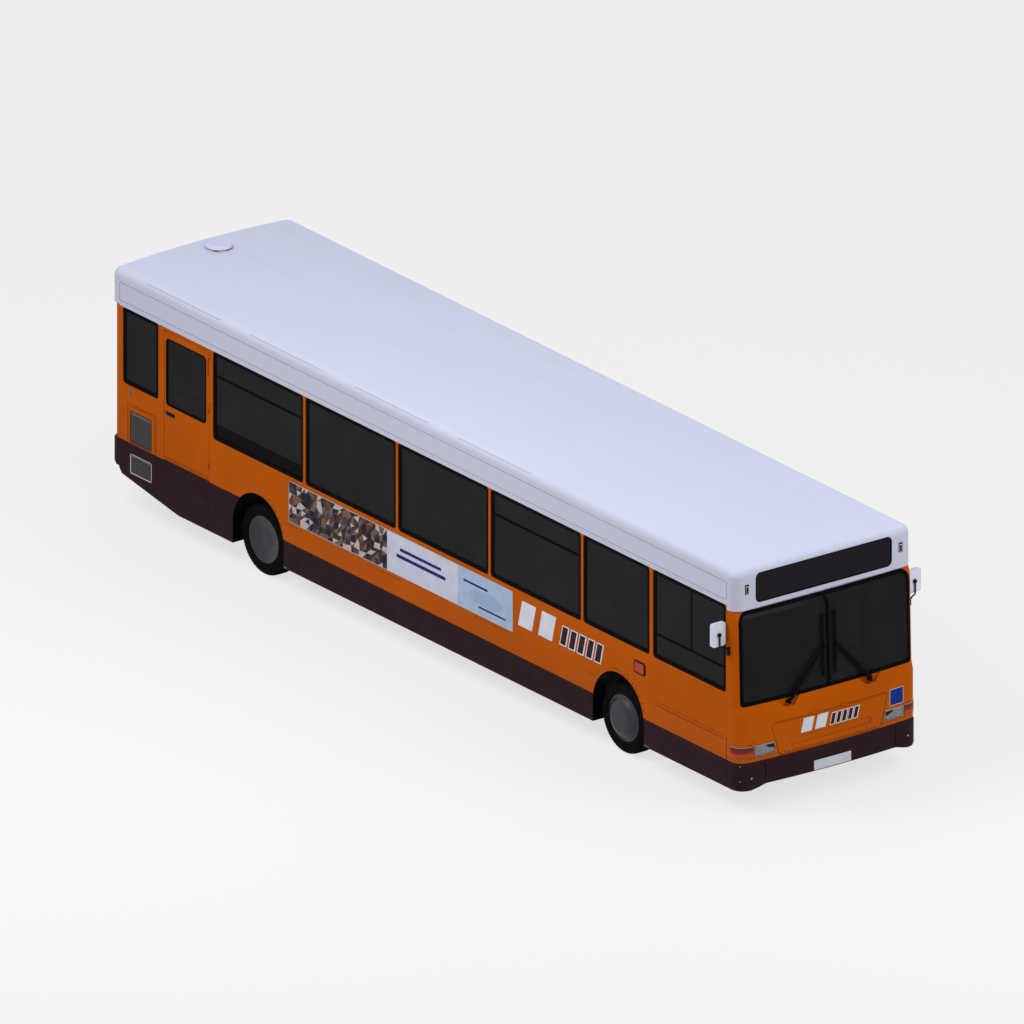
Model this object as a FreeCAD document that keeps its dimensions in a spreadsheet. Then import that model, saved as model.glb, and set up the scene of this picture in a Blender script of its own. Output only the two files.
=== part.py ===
import FreeCAD, Part
import Sketcher
import math
import os
from FreeCAD import Placement, Rotation, Vector

# A low-floor single-deck city bus, eleven metres long, with its engine in the tail.
# The origin lies on the ground under the middle of the bus. +X points forward, +Y to the left (the
# kerb side, with the entrance) and +Z up, and every length is in millimetres. The right side, at -Y,
# has the driver's window at the front and the emergency door behind the rear wheels.

SIZES = (
    # Body envelope
    ("body_width", 2400, "over the side panels"),
    ("rear_reach", 5655, "middle of the bus to the rear panel"),
    ("nose_reach", 5675, "middle of the bus to the front panel"),
    ("front_joint", 5408, "middle to where side panels meet the front moulding"),
    ("rear_joint", 5500, "middle to where side panels meet the rear moulding"),
    ("crown_height", 2790, "ground to the top of the roof"),
    ("roof_camber", 42, "fall of the roof from its crown to its edges"),
    ("roof_edge_radius", 95, "rounding from side to roof"),
    ("cove_line", 2362, "ground to the bottom of the roof moulding"),
    ("skirt_bottom", 243, "ground to the lower edge of the skirts"),
    ("skirt_top", 563, "ground to the top of the front and middle skirts"),
    ("rear_skirt_top", 810, "ground to the top of the rear skirts"),
    ("tail_rise_start", 4440, "middle to where the rear skirts start to rise"),
    ("tail_rise_knee", 5450, "middle to the knee of the rising skirt line"),
    ("tail_knee_height", 412, "ground to that knee"),
    ("tail_bottom", 488, "ground to the lower edge of the rear bumper"),
    # Wall thicknesses and fits
    ("wall", 60, "side, front and rear walls"),
    ("skirt_wall", 30, "skirt panels and bumpers"),
    ("roof_wall", 50, "roof moulding"),
    ("glass", 8, "window panes"),
    ("fit", 0.3, "gap of a piece seated in its opening"),
    ("door_gap", 8, "gap round every door and flap"),
    # Side windows
    ("sill", 1330, "ground to the bottom of the main side windows"),
    ("window_head", 2350, "ground to the top of the side windows"),
    ("window_corner", 45, "corner radius of the side windows"),
    ("rubber_face", 46, "visible width of the window rubbers"),
    ("rubber_inset", 8, "rubber set back from the panel"),
    ("bay_start", -3820, "rear edge of the first full bay"),
    ("bay_pitch", 1662, "from one full bay to the next"),
    ("bay_window", 1624, "width of a full bay window"),
    ("short_bay_window", 1192, "width of the window behind the cab"),
    ("cab_window_start", 4080, "rear edge of the driver's window"),
    ("cab_window_end", 5392, "front edge of the driver's window"),
    ("tail_window_start", -5435, "rear edge of the last side window"),
    ("tail_window_end", -4795, "front edge of the last side window"),
    ("tail_sill", 1470, "ground to the bottom of the tail windows"),
    # Emergency door
    ("exit_rear", -4697, "rear edge of the emergency door"),
    ("exit_front", -3882, "hinged front edge of the emergency door"),
    ("exit_head", 2315, "ground to the top of the emergency door"),
    ("exit_window_head", 2225, "ground to the top of its window"),
    ("exit_window_inset", 40, "from the door's edge to its window"),
    ("exit_setback", 2, "emergency door set back from the side panel"),
    ("leaf_glass_inset", 10, "glass of a door set back from its face"),
    ("door_thickness", 44, "every hinged door leaf"),
    # Entrance
    ("entrance_rear", 4110, "rear edge of the doorway"),
    ("entrance_front", 5350, "front edge of the doorway"),
    ("entrance_step", 352, "ground to the lower edge of the door leaves"),
    ("leaf_frame", 62, "width of a leaf's frame members"),
    ("leaf_setback", 12, "door leaves set back from the side panel"),
    ("middle_rail", 1000, "ground to the leaf's middle rail"),
    ("leaf_pivot_in", 22, "leaf's outer edge to its pivot"),
    ("leaf_pivot_depth", 8, "leaf's inner face to its pivot"),
    ("leaf_pin_radius", 8, "leaf's pivot pins"),
    # Hinges of the emergency door, engine cover and front flap
    ("hinge_stand", 10, "hinge line outside the panel"),
    ("hinge_radius", 4, "hinge barrels"),
    ("hinge_length", 60, "each half of a hinge barrel"),
    ("hinge_plate", 26, "width of a hinge's plates"),
    ("hinge_root", 12, "hinge plates of the lids, set into the panel"),
    ("lid_hinge_y", 260, "centreline to the outer ends of the lids' hinges"),
    ("exit_hinge_low", 960, "ground to the emergency door's lowest hinge"),
    ("exit_hinge_middle", 1600, "ground to its middle hinge"),
    ("exit_hinge_high", 2190, "ground to its highest hinge"),
    # Wheels and axles
    ("front_axle_x", 3460, "middle of the bus to the front axle"),
    ("rear_axle_x", -3005, "middle of the bus to the rear axle"),
    ("tyre_radius", 405.5, "outside of the tyre"),
    ("tyre_width", 225, "over the sidewalls"),
    ("tread_width", 137, "flat of the tread"),
    ("shoulder_drop", 22, "fall from the tread to the shoulder"),
    ("tyre_bulge", 319, "radius of the widest part of the sidewall"),
    ("bead_inset", 27, "widest part of the sidewall to the bead's outer face"),
    ("tyre_pitches", 60, "tread pitches round a tyre"),
    ("bead_radius", 248, "inside of the tyre"),
    ("wheel_face", 1139, "centreline to the outer side of the outer tyres"),
    ("twin_gap", 34, "between the twin tyres"),
    ("flange_radius", 266, "outside of the rims' flanges"),
    ("flange_lip", 5, "thickness of a rim flange"),
    ("barrel_wall", 22, "bead seat to the inside of a rim's barrel"),
    ("disc_wall", 12, "pressed disc of the front wheels"),
    ("dome_rise", 45, "front wheel's face ahead of its tyre"),
    ("dome_flat", 150, "radius of the front wheel's flat face"),
    ("hub_radius", 86, "hub behind the front wheel's face"),
    ("hub_depth", 96, "tyre's outer side to the back of the front hub"),
    ("dish_depth", 58, "tyre's outer side to the rear wheel's flat disc"),
    ("dish_flat", 118, "radius of the rear wheel's flat disc"),
    ("cap_wall", 20, "closed end of a hub beyond its spindle"),
    ("spindle_setback", 30, "tyre's outer side to the end of the front spindle"),
    ("rear_spindle_setback", 84, "tyre's outer side to the end of the rear axle"),
    ("arch_radius", 455, "wheel arch in the side panel"),
    ("arch_centre", 490, "ground to the centre of the wheel arch"),
    ("kingpin_y", 930, "centreline to the kingpin"),
    ("kingpin_radius", 18, "steering pin"),
    ("spindle_radius", 30, "stub axle in the wheel hub"),
    ("knuckle_half", 78, "half the height of the steering barrel"),
    ("knuckle_radius", 36, "steering barrel"),
    ("beam_bottom", 185, "ground to the underside of the front beam"),
    ("beam_height", 70, "front axle beam"),
    ("beam_width", 100, "front axle beam"),
    ("yoke_depth", 120, "kingpin to the inner side of the yoke's post"),
    ("yoke_post", 60, "width of the yoke's post"),
    ("ear_half", 44, "yoke ears round the kingpin"),
    ("ear_clearance", 84, "hub height to the faces of the ears"),
    ("ear_height", 30, "yoke ears"),
    ("front_arm_y", 500, "centreline to the front axle's arms"),
    ("front_arm_width", 60, "front axle's arms"),
    ("front_arm_height", 50, "front axle's arms"),
    ("front_arm_length", 700, "front axle's arms"),
    ("front_arm_head", 80, "head of an arm under the frame"),
    ("axle_tube_radius", 62, "rear axle's tube"),
    ("axle_tube_short", 30, "end of the tube short of the wheel box"),
    ("differential_radius", 172, "differential housing"),
    ("differential_width", 230, "differential housing"),
    ("pinion_radius", 70, "nose of the differential"),
    ("rear_arm_half", 330, "rear axle's arms, half their length"),
    ("rear_arm_width", 70, "rear axle's arms"),
    ("rear_arm_height", 60, "rear axle's arms"),
    ("bellows_reach", 255, "rear axle to the middle of each air spring"),
    ("bellows_radius", 74, "air springs"),
    # Floor and frame
    ("low_floor", 340, "ground to the front floor"),
    ("high_floor", 740, "ground to the rear floor"),
    ("bench_floor", 1040, "ground to the platform over the engine"),
    ("floor_thickness", 40, "floor boards and their bearers"),
    ("step_one", -1900, "first step up to the rear floor"),
    ("step_two", -2220, "second step up to the rear floor"),
    ("bench_step", -4780, "step up to the rear bench"),
    ("box_half_length", 505, "wheel box, half its length"),
    ("box_inner_front", 630, "centreline to the front wheel box"),
    ("box_inner_rear", 590, "centreline to the rear wheel box"),
    ("box_top", 940, "ground to the top of the wheel boxes"),
    ("box_wall", 20, "wheel box panels"),
    ("rail_y", 400, "centreline to the frame rails"),
    ("rail_width", 60, "frame rail"),
    ("low_rail_bottom", 256, "ground to the underside of the front rails"),
    ("tow_hole_x", 5250, "middle of the bus to the shackle holes in the rails"),
    ("tow_hole_radius", 13, "shackle holes"),
    ("high_rail_bottom", 560, "ground to the underside of the rear rails"),
    ("kick_back", 120, "second step's riser to the back of the rails' kick"),
    ("kick_post", 90, "rail where it kicks up"),
    ("bearer_width", 60, "cross members under the floor"),
    ("high_bearer_height", 90, "cross members under the rear floor"),
    ("first_bearer", -1700, "middle of the bus to the first low cross member"),
    ("bearer_pitch", 1200, "from one low cross member to the next"),
    ("bearer_behind_arch", 2780, "middle to the cross member behind the front wheels"),
    ("bearer_before_arch", 4300, "middle to the cross member ahead of the front wheels"),
    ("nose_bearer", 5300, "middle to the foremost cross member"),
    ("kick_bearer", -2340, "middle to the cross member at the kick"),
    ("bearer_behind_axle", -3900, "middle to the cross member behind the rear axle"),
    ("engine_bearer", -4450, "middle to the cross member ahead of the engine"),
    # Front and rear ends
    ("bow_radius", 12000, "plan curve of the nose"),
    ("nose_corner", 125, "plan radius of the front corners"),
    ("tail_bow_radius", 14000, "plan curve of the tail"),
    ("tail_corner", 110, "plan radius of the rear corners"),
    ("ledge_bottom", 1110, "ground to the foot of the ledge under the screen"),
    ("screen_bottom", 1200, "ground to the bottom of the windscreen"),
    ("screen_bend", 2120, "ground to where the screen starts to curve back"),
    ("screen_top", 2272, "ground to the top of the windscreen"),
    ("screen_half_width", 1147, "half the windscreen opening"),
    ("screen_lean", 30, "screen set back at its foot"),
    ("screen_rake", 30, "further back at the bend"),
    ("screen_curl", 115, "further back at the top"),
    ("screen_rubber", 40, "visible width of the windscreen rubber"),
    ("dome_bottom", 2296, "ground to the lip of the front dome"),
    ("dome_face", 5543, "middle of the bus to the front of the dome"),
    ("dome_corner", 128, "plan radius of the dome"),
    ("dome_floor", 24, "bottom plate of the destination box"),
    ("display_half_width", 911, "destination display"),
    ("display_bottom", 2352, "ground to the bottom of the display"),
    ("display_top", 2690, "ground to the top of the display"),
    ("bumper_reach", 25, "front bumper ahead of the panel"),
    ("bumper_flare", 20, "front bumper outside the sides"),
    ("bumper_section", 870, "centreline to the bumper's seams"),
    ("bumper_middle_rise", 52, "lower edge of the middle section above the skirts"),
    ("bumper_bevel", 26, "slope along the bumper's top edge"),
    ("tail_bumper_reach", 45, "rear bumper behind the panel"),
    ("flap_top", 952, "ground to the top of the front flap"),
    ("flap_bottom", 575, "ground to the bottom of the front flap"),
    ("flap_top_half", 785, "half the front flap's top edge"),
    ("flap_bottom_half", 672, "half the front flap's bottom edge"),
    ("flap_corner", 50, "corner radius of the front flap"),
    ("flap_thickness", 22, "front flap and engine cover"),
    ("scoop_half", 550, "half the shallow recess in the front flap"),
    ("scoop_bottom", 655, "ground to the bottom of the recess"),
    ("scoop_top", 740, "ground to the top of the recess"),
    ("scoop_corner", 40, "corner radius of the recess"),
    ("scoop_depth", 12, "recess in the front flap"),
    ("notch_y", 545, "centreline to the wipers' notches in the ledge"),
    ("notch_half", 150, "half a notch at its top"),
    ("notch_foot_half", 62, "half a notch at its foot"),
    ("notch_foot", 1112, "ground to the foot of a notch"),
    ("notch_floor", 5612, "middle of the bus to the floor of a notch"),
    ("screen_low_corner", 46, "lower corners of the windscreen opening"),
    ("screen_high_corner", 120, "upper corners of the windscreen opening"),
    ("display_corner", 62, "corner radius of the destination display"),
    ("bumper_slope", 180, "run from the middle section's edge to the corners'"),
    ("rear_window_corner", 70, "corner radius of the rear window"),
    ("rear_window_half", 960, "half the rear window"),
    ("rear_window_sill", 1560, "ground to the bottom of the rear window"),
    ("rear_window_head", 2230, "ground to the top of the rear window"),
    ("cover_half", 720, "half the engine cover"),
    ("cover_bottom", 838, "ground to the bottom of the engine cover"),
    ("cover_top", 1400, "ground to the top of the engine cover"),
    ("cover_slots", 7, "air slots in the engine cover"),
    ("slot_rise", 120, "cover's lower edge to its lowest slot"),
    ("slot_height", 16, "air slot"),
    ("slot_pitch", 42, "from slot to slot"),
    ("slot_half", 450, "half the width of a slot"),
    # Lamps, grilles and small parts
    ("lamp_bottom", 622, "ground to the bottom of the front lamps"),
    ("lamp_height", 122, "front lamps"),
    ("headlamp_inner", 738, "centreline to the headlamps"),
    ("headlamp_outer", 1000, "centreline to the outside of the headlamps"),
    ("indicator_inner", 1018, "centreline to the front indicators"),
    ("indicator_back", 5478, "middle of the bus to the rear of the indicators"),
    ("lamp_depth", 46, "lamp units"),
    ("lamp_proud", 6, "lenses ahead of the panel"),
    ("tail_lamps", 4, "lamps in each rear column"),
    ("tail_lamp_rise", 110, "rear skirt's top to the lowest rear lamp"),
    ("tail_lamp_pitch", 152, "from one rear lamp to the next"),
    ("tail_lamp_height", 150, "rear lamp"),
    ("tail_lamp_inner", 905, "centreline to the rear lamps"),
    ("tail_lamp_outer", 1085, "centreline to the outside of the rear lamps"),
    ("repeater_length", 185, "side repeater lamp"),
    ("repeater_height", 136, "side repeater lamp"),
    ("repeater_depth", 14, "side repeater lamp, on the panel"),
    ("repeater_ahead", 298, "front axle to the repeater's rear edge"),
    ("repeater_drop", 268, "window sill to the repeater's lower edge"),
    ("grille_rear", -5295, "rear edge of the radiator grilles"),
    ("grille_front", -4922, "front edge of the radiator grilles"),
    ("grille_bottom", 826, "ground to the upper grille"),
    ("grille_top", 1185, "ground to the top of the upper grille"),
    ("low_grille_bottom", 470, "ground to the lower grille"),
    ("low_grille_top", 686, "ground to the top of the lower grille"),
    ("grille_border", 12, "rim of a grille"),
    ("grille_slat", 9, "thickness of a grille slat"),
    ("grille_pitch", 26, "from slat to slat"),
    ("grille_setback", 4, "grilles set back from the panel"),
    ("grille_depth", 16, "depth of a grille"),
    ("grille_corner", 20, "corner radius of the upper grille"),
    ("low_grille_corner", 16, "corner radius of the lower grille"),
    ("mirror_x", 5396, "middle of the bus to the mirror heads"),
    ("mirror_y", 1312, "centreline to the mirror heads"),
    ("mirror_z", 2036, "ground to the mirror heads"),
    ("mirror_width", 178, "mirror head"),
    ("mirror_height", 268, "mirror head"),
    ("mirror_depth", 44, "mirror head"),
    ("mirror_corner", 26, "corner radius of a mirror head"),
    ("mirror_ball", 24, "radius of the joint behind a mirror head"),
    ("arm_radius", 9, "mirror arms"),
    ("arm_bend", 22, "bend radius of a mirror arm"),
    ("arm_stand", 6, "mirror head to its arm"),
    ("arm_drop", 12, "mirror head's lower edge to the arm's elbow"),
    ("arm_sweep", 30, "arm's foot ahead of its upright"),
    ("arm_elbow", 55, "side panel to the lower elbow"),
    ("arm_foot", 22, "side panel to the end of the arm"),
    ("arm_fall", 30, "elbow to the end of the arm"),
    ("bracket_depth", 28, "mirror bracket, along the bus"),
    ("bracket_width", 75, "mirror bracket, across the corner"),
    ("bracket_height", 90, "mirror bracket"),
    ("bracket_drop", 100, "elbow to the bracket's lower edge"),
    ("bracket_ahead", 8, "bracket ahead of the arm's upright"),
    ("bracket_root", 42, "bracket inside the line of the side panel"),
    ("vent_x", -5310, "middle of the bus to the roof vent"),
    ("vent_radius", 150, "roof vent"),
    ("vent_height", 52, "roof vent above the crown"),
    ("vent_neck", 120, "radius of the vent's neck"),
    ("vent_rise", 21, "crown to the underside of the vent's cap"),
    ("vent_top", 123, "radius of the cap's flat top"),
    # Wipers
    ("blade_y", 80, "centreline to the wiper blades"),
    ("blade_bottom", 1350, "ground to the lower end of a blade"),
    ("blade_top", 2060, "ground to the upper end of a blade"),
    ("blade_joint", 1680, "ground to where the arms meet the blade"),
    ("blade_stand", 14, "windscreen to the middle of a blade"),
    ("blade_depth", 12, "wiper blade"),
    ("blade_width", 22, "wiper blade"),
    ("wiper_drop", 46, "windscreen's foot to the spindle"),
    ("wiper_stand", 26, "front panel to the spindle's crank"),
    ("spindle_cap", 19, "radius of a wiper spindle"),
    ("spindle_length", 70, "wiper spindle"),
    ("arm_gap", 34, "between the two arms of a wiper"),
    ("main_arm", 16, "width of a wiper's lower arm"),
    ("guide_arm", 12, "width of its upper arm"),
    ("arm_thickness", 9, "wiper arms"),
    # Inside
    ("seat_pitch", 760, "from one seat row to the next"),
    ("first_row", 2150, "middle of the bus to the back of the first seat row"),
    ("seat_post", 280, "seat back to the front of its pedestal"),
    ("seat_aisle", 285, "centreline to the seats"),
    ("seat_outer", 1125, "centreline to the outside of the seats"),
    ("cushion_height", 430, "floor to the top of the cushion"),
    ("back_height", 980, "floor to the top of the seat back"),
    ("back_thickness", 62, "seat back"),
    ("cushion_depth", 430, "seat cushion"),
    ("cushion_thickness", 80, "seat cushion"),
    ("back_rake", 50, "top of the back behind the cushion's heel"),
    ("pedestal_back", 150, "seat back to the rear of its pedestal"),
    ("bench_reach", 560, "rear bench behind its step"),
    ("driver_seat_x", 4330, "middle of the bus to the driver's seat"),
    ("driver_seat_inner", 400, "centreline to the driver's seat"),
    ("driver_seat_outer", 860, "centreline to its outer side"),
    ("cab_floor_rise", 150, "front floor to the driver's plinth"),
    ("plinth_rear", 4180, "middle of the bus to the rear of the plinth"),
    ("plinth_front", 5000, "middle of the bus to the front of the plinth"),
    ("plinth_inner", 260, "centreline to the plinth"),
    ("desk_depth", 330, "driver's desk"),
    ("desk_top", 1150, "ground to the top of the driver's desk"),
    ("desk_front_top", 1120, "ground to the desk's edge at the windscreen"),
    ("desk_rear_top", 1010, "ground to the desk's near edge"),
    ("desk_lip", 50, "height of the desk's near edge"),
    ("desk_leg", 130, "panel under the desk"),
    ("cab_screen_x", 4070, "middle of the bus to the screen behind the driver"),
    ("cab_screen_thickness", 26, "screen behind the driver"),
    ("cab_screen_inner", 240, "centreline to the lower part of the screen"),
    ("cab_screen_narrow", 330, "centreline to the upper part of the screen"),
    ("cab_screen_waist", 1500, "ground to where the screen narrows"),
    ("cab_screen_top", 1900, "ground to the top of the screen"),
    ("steering_x", 4930, "middle of the bus to the steering wheel"),
    ("steering_y", 630, "centreline to the steering wheel"),
    ("steering_z", 1130, "ground to the steering wheel"),
    ("steering_tilt", 28, "degrees that the steering wheel leans"),
    ("steering_radius", 212, "steering wheel"),
    ("steering_grip", 15, "radius of the steering wheel's rim"),
    ("steering_hub", 45, "radius of the steering wheel's hub"),
    ("column_radius", 30, "steering column"),
    ("pole_radius", 17, "grab poles"),
    ("pole_inset", 32, "seats to the grab poles, towards the aisle"),
    ("first_pole", 2760, "middle of the bus to the first low pole"),
    ("pole_pitch", 1440, "from one low pole to the next"),
    ("high_pole", -2600, "middle of the bus to the first pole on the rear floor"),
    ("last_pole", -3560, "middle of the bus to the last pole"),
    ("engine_rear", -5520, "rear of the engine block"),
    ("engine_front", -4560, "front of the engine block"),
    ("engine_bottom", 330, "ground to the sump"),
    ("engine_top", 980, "ground to the top of the engine"),
    ("block_rise", 100, "engine block above the underside of the rails"),
    ("head_setback", 60, "engine head ahead of the block's rear"),
    ("head_short", 260, "engine head behind the block's front"),
    ("head_half", 200, "half the engine head"),
)


class Dim:
    """A length that carries its number and the sheet formula it comes from."""

    def __init__(self, number, formula):
        self.number = float(number)
        self.formula = formula

    def __add__(self, other):
        other = dim(other)
        return Dim(self.number + other.number, f"({self.formula} + {other.formula})")

    def __sub__(self, other):
        other = dim(other)
        return Dim(self.number - other.number, f"({self.formula} - {other.formula})")

    def __mul__(self, factor):
        return Dim(self.number * factor, f"({self.formula} * {factor})")

    def __truediv__(self, divisor):
        return Dim(self.number / divisor, f"({self.formula} / {divisor})")

    def __neg__(self):
        return self * -1

    __radd__ = __add__
    __rmul__ = __mul__

    def __rsub__(self, other):
        return dim(other) - self


def dim(value):
    """A plain number as a Dim, or a Dim as it is."""
    return value if isinstance(value, Dim) else Dim(value, f"({value})")


doc = FreeCAD.newDocument("city_bus")
sheet = doc.addObject("Spreadsheet::Sheet", "Sizes")
for row, (alias, number, note) in enumerate(SIZES, 1):
    sheet.set(f"A{row}", alias)
    sheet.set(f"B{row}", str(number))
    sheet.set(f"C{row}", note)
    sheet.setAlias(f"B{row}", alias)
doc.recompute()

SUBPARTS = {}


def size(alias):
    """A cell of the sheet as a Dim."""
    return Dim(sheet.get(alias), f"Sizes.{alias}")


def bind(item, prop, value):
    item.setExpression(prop, dim(value).formula)


def keep(label, item):
    """Names a finished sub-part, which is then written to its own file."""
    item.Label = label
    SUBPARTS[label] = item
    return item


def fixed(label, shape):
    """A sub-part whose shape comes straight from the sheet's numbers."""
    item = doc.addObject("Part::Feature", label + "_shape")
    item.Shape = shape
    return keep(label, item)


# Driving dimensions that most pieces share
half_width = size("body_width") / 2
wall = size("wall")
fit = size("fit")
gap = size("door_gap")
skirt_bottom = size("skirt_bottom")
skirt_top = size("skirt_top")
rear_skirt_top = size("rear_skirt_top")
cove_line = size("cove_line")
front_joint = size("front_joint")
rear_joint = size("rear_joint")
front_axle_x = size("front_axle_x")
rear_axle_x = size("rear_axle_x")
hub_height = size("tyre_radius")
inner_wall = half_width - wall - fit
sill = size("sill")
window_head = size("window_head")
SIDES = (("left", 1), ("right", -1))


# Blocks, cylinders and padded outlines

def box(name, x, y, z):
    """A block between two values on each axis."""
    made = doc.addObject("Part::Box", name)
    for side, corner, (low, high) in (("Length", "x", x), ("Width", "y", y), ("Height", "z", z)):
        bind(made, side, dim(high) - low)
        bind(made, "Placement.Base." + corner, low)
    return made


TURNS = {
    "X": Rotation(Vector(0, 1, 0), 90),
    "Y": Rotation(Vector(1, 0, 0), -90),
    "Z": Rotation(),
}


def rod(name, axis, radius, start, length):
    """A cylinder along +X, +Y or +Z from a start point."""
    made = doc.addObject("Part::Cylinder", name)
    made.Placement = Placement(Vector(), TURNS[axis])
    bind(made, "Radius", radius)
    bind(made, "Height", length)
    for corner, value in zip("xyz", start):
        bind(made, "Placement.Base." + corner, value)
    return made


def fused(name, pieces):
    made = doc.addObject("Part::MultiFuse", name)
    made.Shapes = pieces
    return made


def cut(name, base, tools):
    """The base less one tool or several."""
    made = doc.addObject("Part::Cut", name)
    made.Base = base
    made.Tool = tools[0] if len(tools) == 1 else fused(name + "_tools", tools)
    return made


def grouped(name, pieces):
    """Like pieces that don't touch, as one sub-part."""
    made = doc.addObject("Part::Compound", name)
    made.Links = pieces
    return made


def fix_distance(sketch, kind, where, value):
    at = sketch.addConstraint(Sketcher.Constraint(kind, *where, dim(value).number))
    bind(sketch, f"Constraints[{at}]", value)


def add_polygon(sketch, points):
    first = sketch.GeometryCount
    count = len(points)
    for at, (x, y) in enumerate(points):
        next_x, next_y = points[(at + 1) % count]
        start = Vector(dim(x).number, dim(y).number, 0)
        end = Vector(dim(next_x).number, dim(next_y).number, 0)
        sketch.addGeometry(Part.LineSegment(start, end), False)
    for at, (x, y) in enumerate(points):
        joined = Sketcher.Constraint("Coincident", first + at, 2, first + (at + 1) % count, 1)
        sketch.addConstraint(joined)
        fix_distance(sketch, "DistanceX", (-1, 1, first + at, 1), x)
        fix_distance(sketch, "DistanceY", (-1, 1, first + at, 1), y)


def add_window(sketch, x, y, radius):
    """A rectangle with rounded corners."""
    (left, right), (low, high), radius = x, y, dim(radius)
    first = sketch.GeometryCount
    x0, x1, y0, y1, r = (dim(value).number for value in (left, right, low, high, radius))
    sides = (
        ((x0 + r, y0), (x1 - r, y0)),
        ((x1, y0 + r), (x1, y1 - r)),
        ((x1 - r, y1), (x0 + r, y1)),
        ((x0, y1 - r), (x0, y0 + r)),
    )
    for start, end in sides:
        sketch.addGeometry(Part.LineSegment(Vector(*start, 0), Vector(*end, 0)), False)
    centres = ((x1 - r, y0 + r), (x1 - r, y1 - r), (x0 + r, y1 - r), (x0 + r, y0 + r))
    for quarter, centre in enumerate(centres, -1):
        circle = Part.Circle(Vector(*centre, 0), Vector(0, 0, 1), r)
        start_angle = quarter * math.pi / 2
        sketch.addGeometry(Part.ArcOfCircle(circle, start_angle, start_angle + math.pi / 2), False)
    rules = []
    for side in range(4):
        arc = first + 4 + side
        rules.append(Sketcher.Constraint("Tangent", first + side, 2, arc, 1))
        rules.append(Sketcher.Constraint("Tangent", arc, 2, first + (side + 1) % 4, 1))
        rules.append(Sketcher.Constraint("Vertical" if side % 2 else "Horizontal", first + side))
        if side:
            rules.append(Sketcher.Constraint("Equal", first + 4, arc))
    sketch.addConstraint(rules)
    fix_distance(sketch, "DistanceY", (-1, 1, first, 1), low)
    fix_distance(sketch, "DistanceX", (-1, 1, first + 1, 1), right)
    fix_distance(sketch, "DistanceY", (-1, 1, first + 2, 1), high)
    fix_distance(sketch, "DistanceX", (-1, 1, first + 3, 1), left)
    fix_distance(sketch, "Radius", (first + 4,), radius)


def sketched(name, plane, offset):
    """A body with a sketch on one of its own origin planes, moved along the plane's normal."""
    body = doc.addObject("PartDesign::Body", name)
    sketch = body.newObject("Sketcher::SketchObject", name + "_outline")
    origin = [feature for feature in body.Origin.OriginFeatures if feature.Role == plane + "_Plane"]
    sketch.AttachmentSupport = [(origin[0], "")]
    sketch.MapMode = "FlatFace"
    bind(sketch, "AttachmentOffset.Base.z", offset)
    return body, sketch


def padded(name, plane, start, length, outlines, windows=()):
    """A plate from outlines and rounded windows in an origin plane, padded along that plane's normal.

    The XZ plane's normal is -Y, so there start and length count towards the right side of the bus.
    """
    body, sketch = sketched(name, plane, start)
    for outline in outlines:
        add_polygon(sketch, outline)
    for window in windows:
        add_window(sketch, *window)
    pad = body.newObject("PartDesign::Pad", name + "_pad")
    pad.Profile = sketch
    bind(pad, "Length", length)
    return body


def side_plate(name, sign, skin, thickness, outlines, windows=()):
    """A padded plate in one side of the bus, its outer face at a distance from the centreline."""
    start = skin - thickness if sign < 0 else -skin
    return padded(name, "XZ", start, thickness, outlines, windows)


def turned(name, profile, x, y, z):
    """A profile of (distance along Y, radius) turned about an axle along Y through a point."""
    body, sketch = sketched(name, "YZ", 0)
    add_polygon(sketch, profile)
    turn = body.newObject("PartDesign::Revolution", name + "_turn")
    turn.Profile = sketch
    turn.ReferenceAxis = (sketch, ["H_Axis"])
    turn.Angle = 360
    for corner, value in zip("xyz", (x, y, z)):
        bind(body, "Placement.Base." + corner, value)
    return body


# Side walls, with their window openings, doorways and wheel arches

def bay_spans():
    """Start and end of the four full windows and the short one, from the rear."""
    spans = []
    for number in range(5):
        start = size("bay_start") + size("bay_pitch") * number
        width = size("bay_window") if number < 4 else size("short_bay_window")
        spans.append((start, start + width))
    return spans


TAIL_SPAN = (size("tail_window_start"), size("tail_window_end"))
CAB_SPAN = (size("cab_window_start"), size("cab_window_end"))
EXIT_SPAN = (size("exit_rear"), size("exit_front"))


def window_list(side):
    """Openings of one side wall: (x span, z span), from the rear."""
    main = (sill, window_head)
    tail = (size("tail_sill"), window_head)
    found = [(TAIL_SPAN, tail)]
    if side == "left":
        found.append((EXIT_SPAN, tail))
    found += [(span, main) for span in bay_spans()]
    if side == "right":
        found.append((CAB_SPAN, main))
    return found


def arch_tools(name, sign, skin_y):
    """The two wheel arches as cutters through a side."""
    tools = []
    low = half_width - skin_y if sign > 0 else -half_width - 10
    for end, axle_x in (("front", front_axle_x), ("rear", rear_axle_x)):
        start = (axle_x, low, size("arch_centre"))
        tools.append(rod(f"{name}_{end}_arch", "Y", size("arch_radius"), start, skin_y + 10))
        radius = size("arch_radius")
        z = (skirt_bottom - 10, size("arch_centre"))
        y = (low, low + skin_y + 10)
        tools.append(box(f"{name}_{end}_arch_foot", (axle_x - radius, axle_x + radius), y, z))
    return tools


def grille_opening(low, high, corner):
    """Opening of a radiator grille in the right side."""
    return (size("grille_rear"), size("grille_front")), (size(low), size(high)), size(corner)


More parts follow.
